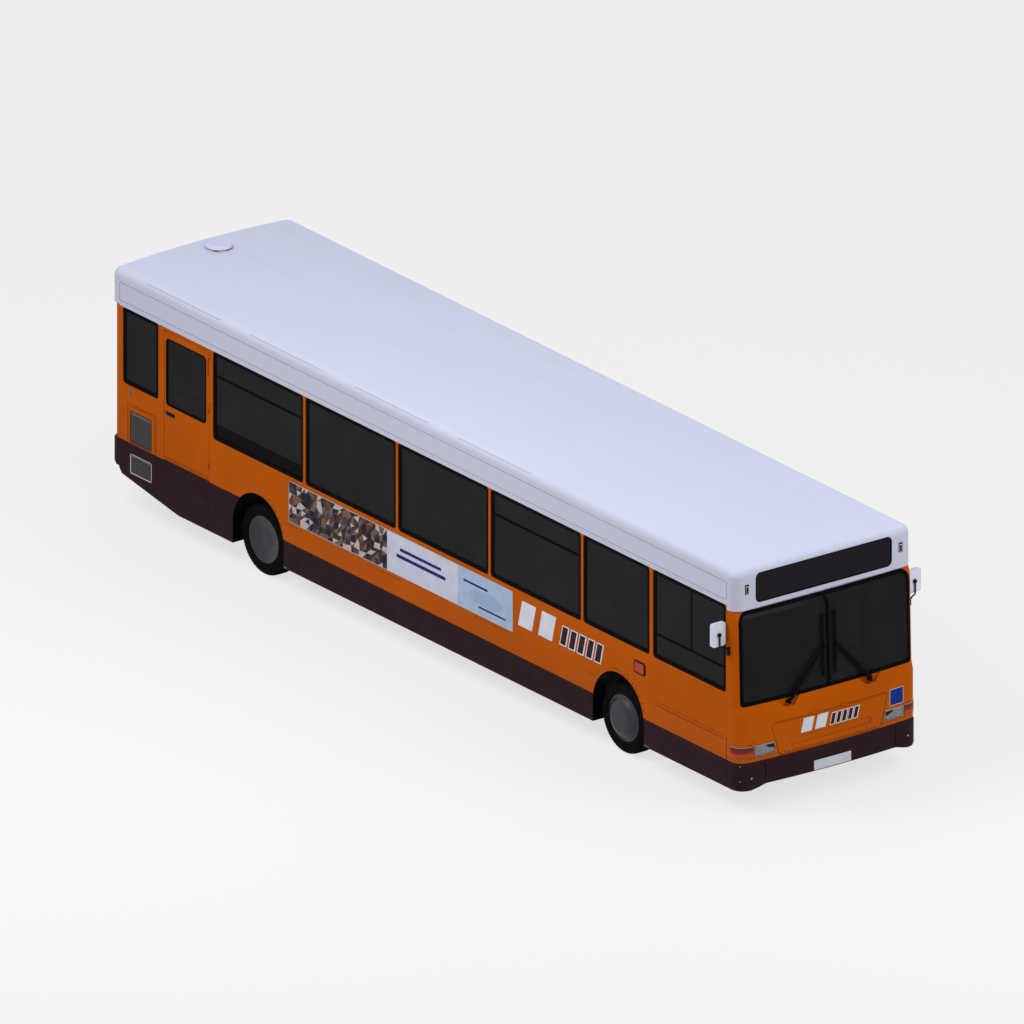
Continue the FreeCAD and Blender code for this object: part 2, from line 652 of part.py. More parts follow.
def side_wall(side, sign):
    """The side panel between the front and rear mouldings, over the skirts."""
    if side == "left":
        front_end = size("entrance_rear")
    else:
        front_end = front_joint
    outline = [
        (-rear_joint, rear_skirt_top),
        (rear_axle_x, rear_skirt_top),
        (rear_axle_x, skirt_top),
        (front_end, skirt_top),
        (front_end, cove_line),
        (-rear_joint, cove_line),
    ]
    if side == "right":
        notch = [
            (EXIT_SPAN[0], rear_skirt_top),
            (EXIT_SPAN[0], size("exit_head")),
            (EXIT_SPAN[1], size("exit_head")),
            (EXIT_SPAN[1], rear_skirt_top),
        ]
        outline[1:1] = notch
    corner = size("window_corner")
    windows = [(x, z, corner) for x, z in window_list(side)]
    if side == "right":
        windows.append(grille_opening("grille_bottom", "grille_top", "grille_corner"))
    plate = side_plate(f"{side}_plate", sign, half_width, wall, [outline], windows)
    arched = cut(f"{side}_wall", plate, arch_tools(f"{side}_wall", sign, wall + 20))
    if side == "right":
        length = size("hinge_length") + fit
        hinges = exit_hinges("wall", EXIT_SPAN[1] - gap, half_width, length, 1)
        return keep("right_side_wall", fused("right_wall_solid", [arched] + hinges))
    post_outline = [
        (size("entrance_front"), skirt_top),
        (front_joint, skirt_top),
        (front_joint, cove_line),
        (size("entrance_front"), cove_line),
    ]
    post = side_plate("entrance_post", sign, half_width, wall, [post_outline])
    step = box("entrance_step", (size("entrance_rear"), size("entrance_front")),
               (inner_wall + fit, half_width - size("skirt_wall")),
               (size("low_floor") - size("floor_thickness"), size("low_floor")))
    return keep("left_side_wall", grouped("left_wall_pieces", [arched, post, step]))


def skirts():
    """The brown lower panels of both sides, three to a side."""
    panels = []
    radius = size("arch_radius")
    tail = [
        (-rear_joint, rear_skirt_top),
        (-rear_joint, size("tail_bottom") - (size("tail_bottom") - size("tail_knee_height")) / 4),
        (-size("tail_rise_knee"), size("tail_knee_height")),
        (-size("tail_rise_start"), skirt_bottom),
        (rear_axle_x - radius, skirt_bottom),
        (rear_axle_x - radius, size("arch_centre")),
        (rear_axle_x, size("arch_centre")),
        (rear_axle_x, rear_skirt_top),
    ]
    middle = [
        (rear_axle_x + radius, skirt_bottom),
        (front_axle_x - radius, skirt_bottom),
        (front_axle_x - radius, skirt_top),
        (rear_axle_x + radius, skirt_top),
    ]
    for side, sign in SIDES:
        front = [
            (front_axle_x + radius, skirt_bottom),
            (front_joint, skirt_bottom),
            (front_joint, skirt_top),
            (front_axle_x + radius, skirt_top),
        ]
        if side == "left":
            front[2:3] = [
                (front_joint, skirt_top),
                (size("entrance_front"), skirt_top),
                (size("entrance_front"), size("low_floor")),
                (size("entrance_rear"), size("low_floor")),
                (size("entrance_rear"), skirt_top),
            ]
        holes = []
        if side == "right":
            holes = [grille_opening("low_grille_bottom", "low_grille_top", "low_grille_corner")]
        thickness = size("skirt_wall")
        raised = side_plate(f"{side}_tail_skirt", sign, half_width, thickness, [tail], holes)
        arch = arch_tools(f"{side}_tail_skirt", sign, thickness + 20)[2:3]
        panels.append(cut(f"{side}_tail_skirt_arched", raised, arch))
        panels.append(side_plate(f"{side}_middle_skirt", sign, half_width, thickness, [middle]))
        panels.append(side_plate(f"{side}_front_skirt", sign, half_width, thickness, [front]))
    return keep("skirts", grouped("skirt_panels", panels))


# Window rubbers and panes of the sides

def glazing():
    """Every fixed side window: a rubber ring in its opening, and the pane held in it."""
    rings, panes = [], []
    depth = wall - size("rubber_inset") * 2
    face = size("rubber_face")
    corner = size("window_corner")
    for side, sign in SIDES:
        for number, ((x0, x1), (z0, z1)) in enumerate(window_list(side)):
            name = f"{side}_window_{number}"
            outer = ((x0 + fit, x1 - fit), (z0 + fit, z1 - fit), corner)
            inner = ((x0 + face, x1 - face), (z0 + face, z1 - face), corner / 2)
            skin = half_width - size("rubber_inset")
            rings.append(side_plate(name + "_rubber", sign, skin, depth, [], [outer, inner]))
            pane_x = (x0 + face + fit, x1 - face - fit)
            pane_z = (z0 + face + fit, z1 - face - fit)
            pane_skin = skin - size("rubber_inset")
            pane = [(pane_x, pane_z, corner / 2 - fit)]
            panes.append(side_plate(name + "_pane", sign, pane_skin, size("glass"), [], pane))
    keep("side_window_rubbers", grouped("rubber_rings", rings))
    keep("side_window_glass", grouped("window_panes", panes))


# Skins of the front and rear ends

FAR = 6000  # beyond either end of the bus
PAST = 10  # a cutter runs on past what it cuts
OVERLAP = 200  # a wrapped wall is drawn past its joint and trimmed there


def lid_hinges(nose, lid_top):
    """Two flush hinges along a lid's upper edge, as the panel's halves and the lid's halves."""
    line_x = nose + number("hinge_stand")
    line_z = lid_top + number("door_gap") / 2
    length, plate, radius = (number(alias) for alias in
                             ("hinge_length", "hinge_plate", "hinge_radius"))
    depth = number("hinge_stand") + number("hinge_root")
    reach = number("lid_hinge_y")
    panel_halves, lid_halves = [], []
    for y in (-reach, reach - 2 * length):
        for halves, start, low in ((panel_halves, y, line_z),
                                   (lid_halves, y + length + number("fit"), line_z - plate)):
            base = Vector(line_x, start, line_z)
            halves.append(Part.makeCylinder(radius, length, base, Vector(0, 1, 0)))
            halves.append(Part.makeBox(depth, length, plate, Vector(line_x - depth, start, low)))
    return panel_halves, lid_halves


def wrap_edges(joint, nose, bow_radius, corner_radius, inset):
    """Plan curve of an end: from the left joint round the corners and the bowed face to the right.

    Every inset curve shares its centres with the skin, so walls keep their thickness all round.
    """
    half = half_width.number
    bow_centre = nose - bow_radius
    side_line = half - corner_radius
    corner_x = bow_centre + math.sqrt((bow_radius - corner_radius) ** 2 - side_line ** 2)
    bow = bow_radius - inset
    corner = corner_radius - inset
    lean = math.atan2(side_line, corner_x - bow_centre)
    left = []
    for angle in (math.pi / 2, (math.pi / 2 + lean) / 2, lean):
        x = corner_x + corner * math.cos(angle)
        y = side_line + corner * math.sin(angle)
        left.append(Vector(x, y, 0))
    right = [Vector(point.x, -point.y, 0) for point in left]
    start = Vector(joint - OVERLAP, half - inset, 0)
    end = Vector(joint - OVERLAP, inset - half, 0)
    return [
        Part.LineSegment(start, left[0]),
        Part.Arc(*left),
        Part.Arc(left[2], Vector(bow_centre + bow, 0, 0), right[2]),
        Part.Arc(*reversed(right)),
        Part.LineSegment(right[0], end),
    ]


def wrap_outline(height, joint, nose, bow_radius, corner_radius, inset, thickness):
    """Edges of a wrapped wall's closed outline at one height, in order."""
    outer = wrap_edges(joint, nose, bow_radius, corner_radius, inset)
    inner = wrap_edges(joint, nose, bow_radius, corner_radius, inset + thickness)
    edges = [curve.toShape() for curve in outer]
    edges.append(Part.makeLine(outer[-1].EndPoint, inner[-1].EndPoint))
    edges += [curve.toShape() for curve in reversed(inner)]
    edges.append(Part.makeLine(inner[0].StartPoint, outer[0].StartPoint))
    for edge in edges:
        edge.translate(Vector(0, 0, height))
    return edges


def wrapped_wall(sections, inset, thickness):
    """A wall ruled through (height, joint, nose, bow radius, corner radius) sections."""
    spans = []
    for lower, upper in zip(sections, sections[1:]):
        low_edges = wrap_outline(*lower, inset, thickness)
        high_edges = wrap_outline(*upper, inset, thickness)
        faces = [Part.makeRuledSurface(*pair) for pair in zip(low_edges, high_edges)]
        faces += [Part.Face(Part.Wire(edges)) for edges in (low_edges, high_edges)]
        shell = Part.makeShell(faces)
        shell.sewShape()
        solid = Part.Solid(shell)
        if solid.Volume < 0:
            solid.reverse()
        spans.append(solid)
    whole = spans[0] if len(spans) == 1 else spans[0].fuse(spans[1:])
    behind = Part.makeBox(FAR, FAR, FAR, Vector(sections[0][1] - FAR, -FAR / 2, 0))
    return whole.cut(behind)


def face_prism(points, near, far):
    """An outline seen from the front, as (y, z), driven along X between two planes."""
    face = Part.Face(Part.makePolygon([Vector(near, y, z) for y, z in points + points[:1]]))
    return face.extrude(Vector(far - near, 0, 0))


def face_window(half, low, high, radii, near, far):
    """A rounded opening seen from the front; radii are for its lower and upper corners."""
    block = Part.makeBox(far - near, 2 * half, high - low, Vector(near, -half, low))
    for height, radius in zip((low, high), radii):
        corners = [
            edge for edge in block.Edges
            if edge.BoundBox.XLength > 1 and abs(edge.CenterOfMass.z - height) < 1
            and abs(abs(edge.CenterOfMass.y) - half) < 1
        ]
        block = block.makeFillet(radius, corners)
    return block


def number(alias):
    return size(alias).number


# Above the windscreen's bend, as shares: of its rise, of its curl, of the nose's corner radius and of
# the bow's radius, which grows as the glass nears the straight lip of the dome
SCREEN_CURL = ((0, 0, 0.9, 1), (0.45, 0.22, 0.8, 1.3), (0.78, 0.58, 0.66, 2), (1, 1, 0.5, 5))


def nose_sections():
    """Heights and plan shapes of the front panel, from its foot to the top of the windscreen."""
    nose, joint = number("nose_reach"), number("front_joint")
    bow, corner = number("bow_radius"), number("nose_corner")
    foot = nose - number("screen_lean")
    bend = foot - number("screen_rake")
    curl = number("screen_curl")
    rise = number("screen_top") - number("screen_bend")
    bend_z = number("screen_bend")
    sections = [
        (number("skirt_top"), joint, nose, bow, corner),
        (number("ledge_bottom"), joint, nose, bow, corner),
        (number("screen_bottom"), joint, foot, bow, corner),
    ]
    for height, back, tighter, flatter in SCREEN_CURL:
        z = number("dome_bottom") if height == 1 else bend_z + rise * height
        sections.append((z, joint, bend - curl * back, bow * flatter, corner * tighter))
    return sections


def screen_window(margin, near, far):
    """The windscreen's outline seen from the front, drawn in by a margin."""
    half = number("screen_half_width") - margin
    low, high = number("screen_bottom") + margin, number("screen_top") - margin
    radii = (number("screen_low_corner") - margin / 2, number("screen_high_corner") - margin)
    return face_window(half, low, high, radii, near, far)


def flap_block(margin):
    """The front flap's outline as a block along X, rounded so that its corners swing clear."""
    top, bottom = number("flap_top_half") - margin, number("flap_bottom_half") - margin
    low, high = number("flap_bottom") + margin, number("flap_top") - margin
    outline = [(-bottom, low), (bottom, low), (top, high), (-top, high)]
    block = face_prism(outline, number("front_joint"), FAR)
    corners = [edge for edge in block.Edges if edge.BoundBox.XLength > 1]
    return block.makeFillet(number("flap_corner") - margin, corners)


def lamp_box(inner, outer, near, far):
    """A lamp's place on the front, left and right, as two blocks."""
    low = number("lamp_bottom")
    blocks = []
    for sign in (1, -1):
        y0, y1 = sorted((sign * inner, sign * outer))
        blocks.append(Part.makeBox(far - near, y1 - y0, number("lamp_height"), Vector(near, y0, low)))
    return blocks


def shrunk(blocks, margin):
    """The same blocks, smaller by a margin on every side."""
    made = []
    for block in blocks:
        limits = block.BoundBox
        corner = Vector(limits.XMin + margin, limits.YMin + margin, limits.ZMin + margin)
        lengths = [length - 2 * margin for length in (limits.XLength, limits.YLength, limits.ZLength)]
        made.append(Part.makeBox(*lengths, corner))
    return made


def wiper_notches():
    """The two notches in the ledge under the windscreen, as cutters."""
    half, foot_half, foot = number("notch_half"), number("notch_foot_half"), number("notch_foot")
    top = number("screen_bottom")
    cutters = []
    for sign in (1, -1):
        y = sign * number("notch_y")
        outline = [(y - foot_half, foot), (y + foot_half, foot), (y + half, top), (y - half, top)]
        cutters.append(face_prism(outline, number("notch_floor"), FAR))
    return cutters


def flap_scoop(sections):
    """The long shallow recess in the front flap, as a cutter."""
    depth, corner = number("scoop_depth"), number("scoop_corner")
    outline = face_window(number("scoop_half"), number("scoop_bottom"), number("scoop_top"),
                          (corner, corner), number("front_joint"), FAR)
    return wrapped_wall(sections, -PAST, PAST + depth).common(outline)


def front_end():
    """The orange front moulding, its flap, lamps, bumper and windscreen."""
    sections = nose_sections()
    thickness, clearance = number("wall"), number("fit")
    panel = wrapped_wall(sections, 0, thickness)
    panel = panel.cut(screen_window(0, number("front_joint") - OVERLAP, FAR))
    panel = panel.cut([flap_block(-number("door_gap"))] + wiper_notches())
    low_sections = sections[:2]
    flap_skin = wrapped_wall(low_sections, 0, number("flap_thickness"))
    flap = flap_skin.common(flap_block(0)).cut(flap_scoop(low_sections))
    panel_halves, flap_halves = lid_hinges(number("nose_reach"), number("flap_top"))
    flap = flap.fuse(flap_halves)

    joint = number("front_joint") + 1
    heads = lamp_box(number("headlamp_inner"), number("headlamp_outer"), joint, FAR)
    sides = number("indicator_inner"), half_width.number + PAST
    ambers = lamp_box(*sides, number("indicator_back"), FAR)
    lamp_skin = wrapped_wall(low_sections, 0, number("lamp_depth"))
    for block in heads + ambers:
        panel = panel.cut(lamp_skin.common(block))
    proud = -number("lamp_proud")
    lens_skin = wrapped_wall(low_sections, proud, number("lamp_depth") - clearance - proud)
    headlamps = [lens_skin.common(block) for block in shrunk(heads, clearance)]
    indicators = [lens_skin.common(block) for block in shrunk(ambers, clearance)]
    fixed("front_panel", panel.fuse(panel_halves).removeSplitter())
    fixed("front_flap", flap)
    fixed("headlamps", Part.makeCompound(headlamps))
    indicators += side_repeaters()
    fixed("amber_lamps", Part.makeCompound(indicators))

    screen_sections = sections[2:]
    rubber_face = number("screen_rubber")
    inset = number("rubber_inset") / 2
    near = number("front_joint") - OVERLAP / 2
    rubber_skin = wrapped_wall(screen_sections, inset, thickness - 2 * inset)
    hole = screen_window(rubber_face, near - PAST, FAR + PAST)
    ring = screen_window(clearance, near, FAR).cut(hole)
    half_bar = rubber_face / 2
    bar_foot = number("screen_bottom") + rubber_face - PAST
    bar_head = number("screen_top") - rubber_face + PAST
    bar = Part.makeBox(
        FAR - near, 2 * half_bar, bar_head - bar_foot, Vector(near, -half_bar, bar_foot)
    )
    rubber = rubber_skin.common(ring.fuse(bar))
    fixed("windscreen_rubber", rubber.removeSplitter())
    pane_skin = wrapped_wall(screen_sections, inset + number("rubber_inset"), number("glass"))
    panes = screen_window(rubber_face + clearance, near, FAR)
    divide = 2 * (half_bar + clearance)
    slot = Part.makeBox(FAR, divide, FAR, Vector(near - PAST, -divide / 2, 0))
    fixed("windscreen_glass", pane_skin.common(panes.cut(slot)))


def side_repeaters():
    """The square indicator lamps on the flanks, ahead of the front wheels' arches."""
    length, height, depth = (number(alias) for alias in
                             ("repeater_length", "repeater_height", "repeater_depth"))
    x = front_axle_x.number + number("repeater_ahead")
    z = sill.number - number("repeater_drop")
    half = half_width.number
    return [Part.makeBox(length, depth, height, Vector(x, y, z)) for y in (half, -half - depth)]


def front_bumper():
    """The brown bumper: a middle section and two corners that reach lower."""
    joint, nose = number("front_joint"), number("nose_reach") + number("bumper_reach")
    bow, corner = number("bow_radius"), number("nose_corner") + number("bumper_flare")
    low, high = number("skirt_bottom"), number("skirt_top")
    bevel, thickness = number("bumper_bevel"), number("skirt_wall")
    sections = [
        (low, joint, nose - bevel / 2, bow, corner),
        (low + bevel, joint, nose, bow, corner),
        (high - bevel, joint, nose, bow, corner),
        (high, joint, nose - bevel, bow, corner),
    ]
    shell = wrapped_wall(sections, 0, thickness)
    seam = number("bumper_section")
    rise = number("bumper_middle_rise")
    slope = number("bumper_slope")
    lift = [
        (-seam - slope, low - 1),
        (seam + slope, low - 1),
        (seam, low + rise),
        (-seam, low + rise),
    ]
    shell = shell.cut(face_prism(lift, joint - OVERLAP, FAR))
    middle = Part.makeBox(FAR, 2 * seam, FAR, Vector(0, -seam, 0))
    step = number("fit")
    outer = Part.makeBox(FAR, 2 * (seam + step), FAR, Vector(0, -seam - step, 0))
    pieces = [shell.common(middle)] + shell.cut(outer).Solids
    fixed("front_bumper", Part.makeCompound(pieces))


def crowned_block(inset, front, rear, low):
    """The outside of the roof as a solid block, drawn in by an inset, with every upper edge rounded."""
    half = half_width.number - inset
    crown = number("crown_height") - inset
    edge = crown - number("roof_camber")
    arc = Part.Arc(Vector(rear, half, edge), Vector(rear, 0, crown), Vector(rear, -half, edge))
    base = [Vector(rear, half, edge), Vector(rear, half, low), Vector(rear, -half, low)]
    base.append(Vector(rear, -half, edge))
    outline = Part.Wire([Part.makePolygon(base), arc.toShape()])
    block = Part.Face(outline).extrude(Vector(front - rear, 0, 0))

    def rounded(shape, radius, wanted):
        return shape.makeFillet(radius, [item for item in shape.Edges if wanted(item.BoundBox)])

    def upright(limits, x):
        return limits.ZLength > 100 and abs(limits.XMax - x) < 1 and limits.XLength < 1 \
            and limits.YLength < 1

    radius = number("tail_corner") - inset
    block = rounded(block, radius, lambda limits: upright(limits, rear))
    radius = number("dome_corner") - inset
    block = rounded(block, radius, lambda limits: upright(limits, front))
    radius = number("roof_edge_radius") - inset
    return rounded(block, radius, lambda limits: limits.ZMin > edge - 5)


def roof_and_dome():
    """The white roof moulding and the dome over the windscreen with the destination display."""
    inset = number("roof_wall")
    front, rear = number("dome_face"), -number("rear_reach")
    low = number("dome_bottom")
    outside = crowned_block(0, front, rear, low)
    inside = crowned_block(inset, front - inset, rear + inset, low - PAST)
    joint, cove = number("front_joint"), number("cove_line")
    shell = outside.cut(inside)
    behind = Part.makeBox(FAR + joint, 2 * FAR, FAR, Vector(-FAR, -FAR, cove))
    fixed("roof", shell.common(behind))

    ahead = Part.makeBox(FAR, 2 * FAR, FAR, Vector(joint, -FAR, low))
    floor_top = low + number("dome_floor")
    cavity_block = Part.makeBox(FAR, 2 * FAR, FAR, Vector(0, -FAR, floor_top))
    dome = outside.cut(inside.common(cavity_block)).common(ahead)
    half, bottom, top = (number(alias) for alias in
                         ("display_half_width", "display_bottom", "display_top"))
    radii = (number("display_corner"),) * 2
    dome = dome.cut(face_window(half, bottom, top, radii, front - inset - PAST, FAR))
    fixed("front_dome", dome)
    clearance = number("fit")
    pane_front = front - number("rubber_inset")
    pane = face_window(half - clearance, bottom + clearance, top - clearance, radii,
                       pane_front - number("glass"), pane_front)
    fixed("destination_display", pane)


def tail_mirror(shape):
    """Shapes of the tail are drawn pointing forward, then turned to face the rear."""
    return shape.mirror(Vector(0, 0, 0), Vector(1, 0, 0))


def rear_end():
    """The rear moulding, its window, engine cover, lamps and bumper."""
    joint, nose = number("rear_joint"), number("rear_reach")
    bow, corner = number("tail_bow_radius"), number("tail_corner")
    low, high = number("rear_skirt_top"), number("cove_line")
    thickness, clearance = number("wall"), number("fit")
    near = joint - OVERLAP

    def section(height, reach=0.0):
        return (height, joint, nose + reach, bow, corner)

    sections = [section(low), section(high)]
    panel = wrapped_wall(sections, 0, thickness)
    half = number("rear_window_half")
    window = (half, number("rear_window_sill"), number("rear_window_head"))
    radii = (number("rear_window_corner"),) * 2
    panel = panel.cut(face_window(*window, radii, near, FAR))
    door_gap = number("door_gap")
    cover_half, bottom, top = (number(alias) for alias in
                               ("cover_half", "cover_bottom", "cover_top"))
    cover_hole = Part.makeBox(FAR, 2 * (cover_half + door_gap), top - bottom + 2 * door_gap,
                              Vector(near, -cover_half - door_gap, bottom - door_gap))
    panel = panel.cut(cover_hole)
    cover_skin = wrapped_wall(sections, 0, number("flap_thickness"))
    cover = cover_skin.common(
        Part.makeBox(FAR, 2 * cover_half, top - bottom, Vector(near, -cover_half, bottom)))
    slot_half = number("slot_half")
    for count in range(int(number("cover_slots"))):
        z = bottom + number("slot_rise") + count * number("slot_pitch")
        slot = Part.makeBox(FAR, 2 * slot_half, number("slot_height"), Vector(near, -slot_half, z))
        cover = cover.cut(slot)
    panel_halves, cover_halves = lid_hinges(nose, top)
    fixed("engine_cover", tail_mirror(cover.fuse(cover_halves)))

    lamp_low, lamp_unit = low + number("tail_lamp_rise"), number("tail_lamp_height")
    lamp_step, lamp_count = number("tail_lamp_pitch"), int(number("tail_lamps"))
    lamp_inner, lamp_outer = number("tail_lamp_inner"), number("tail_lamp_outer")
    lens_skin = wrapped_wall(sections, -number("lamp_proud"), number("lamp_depth"))
    socket_skin = wrapped_wall(sections, 0, number("lamp_depth"))
    lamps = []
    for sign in (1, -1):
        y0 = lamp_inner if sign > 0 else -lamp_outer
        width = lamp_outer - lamp_inner
        height = lamp_count * lamp_step
        socket = Part.makeBox(FAR, width, height, Vector(near, y0, lamp_low))
        panel = panel.cut(socket_skin.common(socket))
        for count in range(lamp_count):
            corner_point = Vector(near, y0 + clearance, lamp_low + clearance + count * lamp_step)
            unit = Part.makeBox(FAR, width - 2 * clearance, lamp_unit - 2 * clearance, corner_point)
            lens = lens_skin.common(unit)
            lamps.append(lens.common(Part.makeBox(FAR, FAR, FAR, Vector(0, -FAR / 2, 0))))
    fixed("rear_lamps", tail_mirror(Part.makeCompound(lamps)))
    fixed("rear_panel", tail_mirror(panel.fuse(panel_halves)))

    inset = number("rubber_inset")
    rubber_face = number("rubber_face")
    rubber_skin = wrapped_wall(sections, inset, thickness - 2 * inset)
    outer = face_window(half - clearance, window[1] + clearance, window[2] - clearance, radii,
                        near, FAR)
    inner_size = (half - rubber_face, window[1] + rubber_face, window[2] - rubber_face)
    inner_radii = (number("rear_window_corner") - rubber_face / 2,) * 2
    inner = face_window(*inner_size, inner_radii, near - PAST, FAR + PAST)
    fixed("rear_window_rubber", tail_mirror(rubber_skin.common(outer.cut(inner))))
    pane_size = (inner_size[0] - clearance, inner_size[1] + clearance, inner_size[2] - clearance)
    pane_skin = wrapped_wall(sections, 2 * inset, number("glass"))
    pane = pane_skin.common(face_window(*pane_size, inner_radii, near, FAR))
    fixed("rear_window_glass", tail_mirror(pane))

    reach, bevel = number("tail_bumper_reach"), number("bumper_bevel")
    foot = number("tail_bottom")
    bumper_sections = [
        section(foot, reach - bevel),
        section(foot + bevel, reach),
        section(low - bevel, reach),
        section(low, reach - bevel),
    ]
    bumper = wrapped_wall(bumper_sections, 0, number("skirt_wall"))
    fixed("rear_bumper", tail_mirror(bumper))


# Doors

def door_leaf(name, sign, skin, thickness, x, z, holes):
    """A plain leaf in a side, with its windows cut."""
    (x0, x1), (z0, z1) = x, z
    outline = [(x0, z0), (x1, z0), (x1, z1), (x0, z1)]
    return side_plate(name + "_leaf", sign, skin, thickness, [outline], holes)


EXIT_HINGES = ("exit_hinge_low", "exit_hinge_middle", "exit_hinge_high")


def exit_hinges(name, x, face, lift, towards):
    """One half of each hinge of the emergency door: a barrel outside the panel and its plate.

    The door's halves stand below and the wall's above, and a plate reaches to one side of the line.
    """
    stand, radius = size("hinge_stand"), size("hinge_radius")
    length, plate = size("hinge_length"), size("hinge_plate")
    line = -half_width - stand
    made = []
    for place in EXIT_HINGES:
        z = size(place) + lift
        barrel_name = f"{name}_{place}"
        made.append(rod(barrel_name + "_barrel", "Z", radius, (x, line, z), length))
        span = (x - plate, x) if towards < 0 else (x, x + plate)
        made.append(box(barrel_name + "_plate", span, (line, -face), (z, z + length)))
    return made


def emergency_door():
    x = (EXIT_SPAN[0] + gap, EXIT_SPAN[1] - gap)
    z = (rear_skirt_top + gap, size("exit_head") - gap)
    inset = size("exit_window_inset")
    window_x = (x[0] + inset, x[1] - inset - inset / 2)
    window_z = (size("tail_sill"), size("exit_window_head"))
    corner = size("window_corner")
    skin = half_width - size("exit_setback")
    thickness = size("door_thickness")
    leaf = door_leaf("exit", -1, skin, thickness, x, z, [(window_x, window_z, corner)])
    hinges = exit_hinges("door", x[1], skin, 0, -1)
    keep("emergency_door", fused("exit_door_solid", [leaf] + hinges))
    glazed("emergency_door", -1, skin, [(window_x, window_z)])


def glazed(door, sign, skin, windows):
    """Rubber rings and panes in a door's windows: the door's own glass, with its black edge."""
    pieces = []
    corner = size("window_corner")
    for count, ((x0, x1), (z0, z1)) in enumerate(windows):
        ring = ((x0 + fit, x1 - fit), (z0 + fit, z1 - fit), corner)
        name = f"{door}_glass_{count}"
        face = skin - size("leaf_glass_inset")
        pieces.append(side_plate(name, sign, face, size("glass") * 2, [], [ring]))
    shape = pieces[0] if len(pieces) == 1 else grouped(door + "_panes", pieces)
    keep(door + "_glass", shape)


def entrance_doors():
    """Two glazed leaves, each hung on its own outer post and folding inwards."""
    start, end = size("entrance_rear"), size("entrance_front")
    middle = (start + end) / 2
    frame = size("leaf_frame")
    z = (size("entrance_step"), window_head - gap)
    skin = half_width - size("leaf_setback")
    thickness = size("door_thickness")
    spans = (("rear_entrance_leaf", start + gap, middle - gap / 2),
             ("front_entrance_leaf", middle + gap / 2, end - gap))
    rail = size("middle_rail")
    for name, x0, x1 in spans:
        window_x = (x0 + frame, x1 - frame)
        lower = (window_x, (z[0] + frame * 2, rail - frame / 2))
        upper = (window_x, (rail + frame / 2, z[1] - frame))
        corner = size("window_corner")
        holes = [(*lower, corner), (*upper, corner)]
        leaf = door_leaf(name, 1, skin, thickness, (x0, x1), z, holes)
        inset, depth = size("leaf_pivot_in"), size("leaf_pivot_depth")
        pivot_x = x0 + inset if name.startswith("rear") else x1 - inset
        pivot_y = skin - thickness + depth
        radius = size("leaf_pin_radius")
        foot = size("low_floor") + fit
        pins = [
            rod(name + "_foot_pin", "Z", radius, (pivot_x, pivot_y, foot), z[0] - foot + frame / 2),
            rod(name + "_head_pin", "Z", radius, (pivot_x, pivot_y, z[1] - frame / 2),
                cove_line - fit - z[1] + frame / 2),
        ]
        keep(name, fused(name + "_solid", [leaf] + pins))
        glazed(name, 1, skin, [lower, upper])


# Grilles, vent, mirrors and wipers

def grille(name, opening):
    """A slatted grille in the right side: a rim with level slats across it."""
    (x0, x1), (z0, z1), corner = opening
    border = size("grille_border")
    x0, x1 = x0 + fit, x1 - fit
    low, high = z0 + fit, z1 - fit
    outer = ((x0, x1), (low, high), corner)
    openings = []
    pitch, slat = number("grille_pitch"), size("grille_slat")
    count = int((high - low - border * 2).number // pitch)
    for index in range(count):
        foot = low + border + size("grille_pitch") * index
        top = foot + size("grille_pitch") - slat
        openings.append([(x0 + border, foot), (x1 - border, foot), (x1 - border, top),
                         (x0 + border, top)])
    skin = half_width - size("grille_setback")
    return side_plate(name, -1, skin, size("grille_depth"), openings, [outer])


def grilles():
    """The two radiator grilles behind the emergency door."""
    upper = grille_opening("grille_bottom", "grille_top", "grille_corner")
    lower = grille_opening("low_grille_bottom", "low_grille_top", "low_grille_corner")
    pair = [grille("upper_grille", upper), grille("lower_grille", lower)]
    keep("radiator_grilles", grouped("grille_pair", pair))


def roof_vent():
    """A round mushroom vent on the roof over the rear seats."""
    crown, height, rise = number("crown_height"), number("vent_height"), number("vent_rise")
    neck = Part.makeCylinder(number("vent_neck"), rise + PAST, Vector(0, 0, crown - PAST))
    cap = Part.makeCone(number("vent_radius"), number("vent_top"), height - rise,
                        Vector(0, 0, crown + rise))
    vent = neck.fuse(cap)
    vent.translate(Vector(number("vent_x"), 0, 0))
    fixed("roof_vent", vent.cut(SUBPARTS["roof"].Shape))


def swept_tube(points, radius, bend):
    """A round bar along straight runs with rounded bends."""
    edges = []
    start = points[0]
    for before, corner, after in zip(points, points[1:], points[2:]):
        back = (before - corner).normalize()
        ahead = (after - corner).normalize()
        opening = back.getAngle(ahead)
        trim = bend / math.tan(opening / 2)
        first, last = corner + back * trim, corner + ahead * trim
        middle = (back + ahead).normalize()
        centre = corner + middle * (bend / math.sin(opening / 2))
        edges.append(Part.makeLine(start, first))
        edges.append(Part.Arc(first, centre - middle * bend, last).toShape())
        start = last
    edges.append(Part.makeLine(start, points[-1]))
    path = Part.Wire(edges)
    direction = (points[1] - points[0]).normalize()
    circle = Part.Wire([Part.makeCircle(radius, points[0], direction)])
    return path.makePipeShell([circle], True, False)


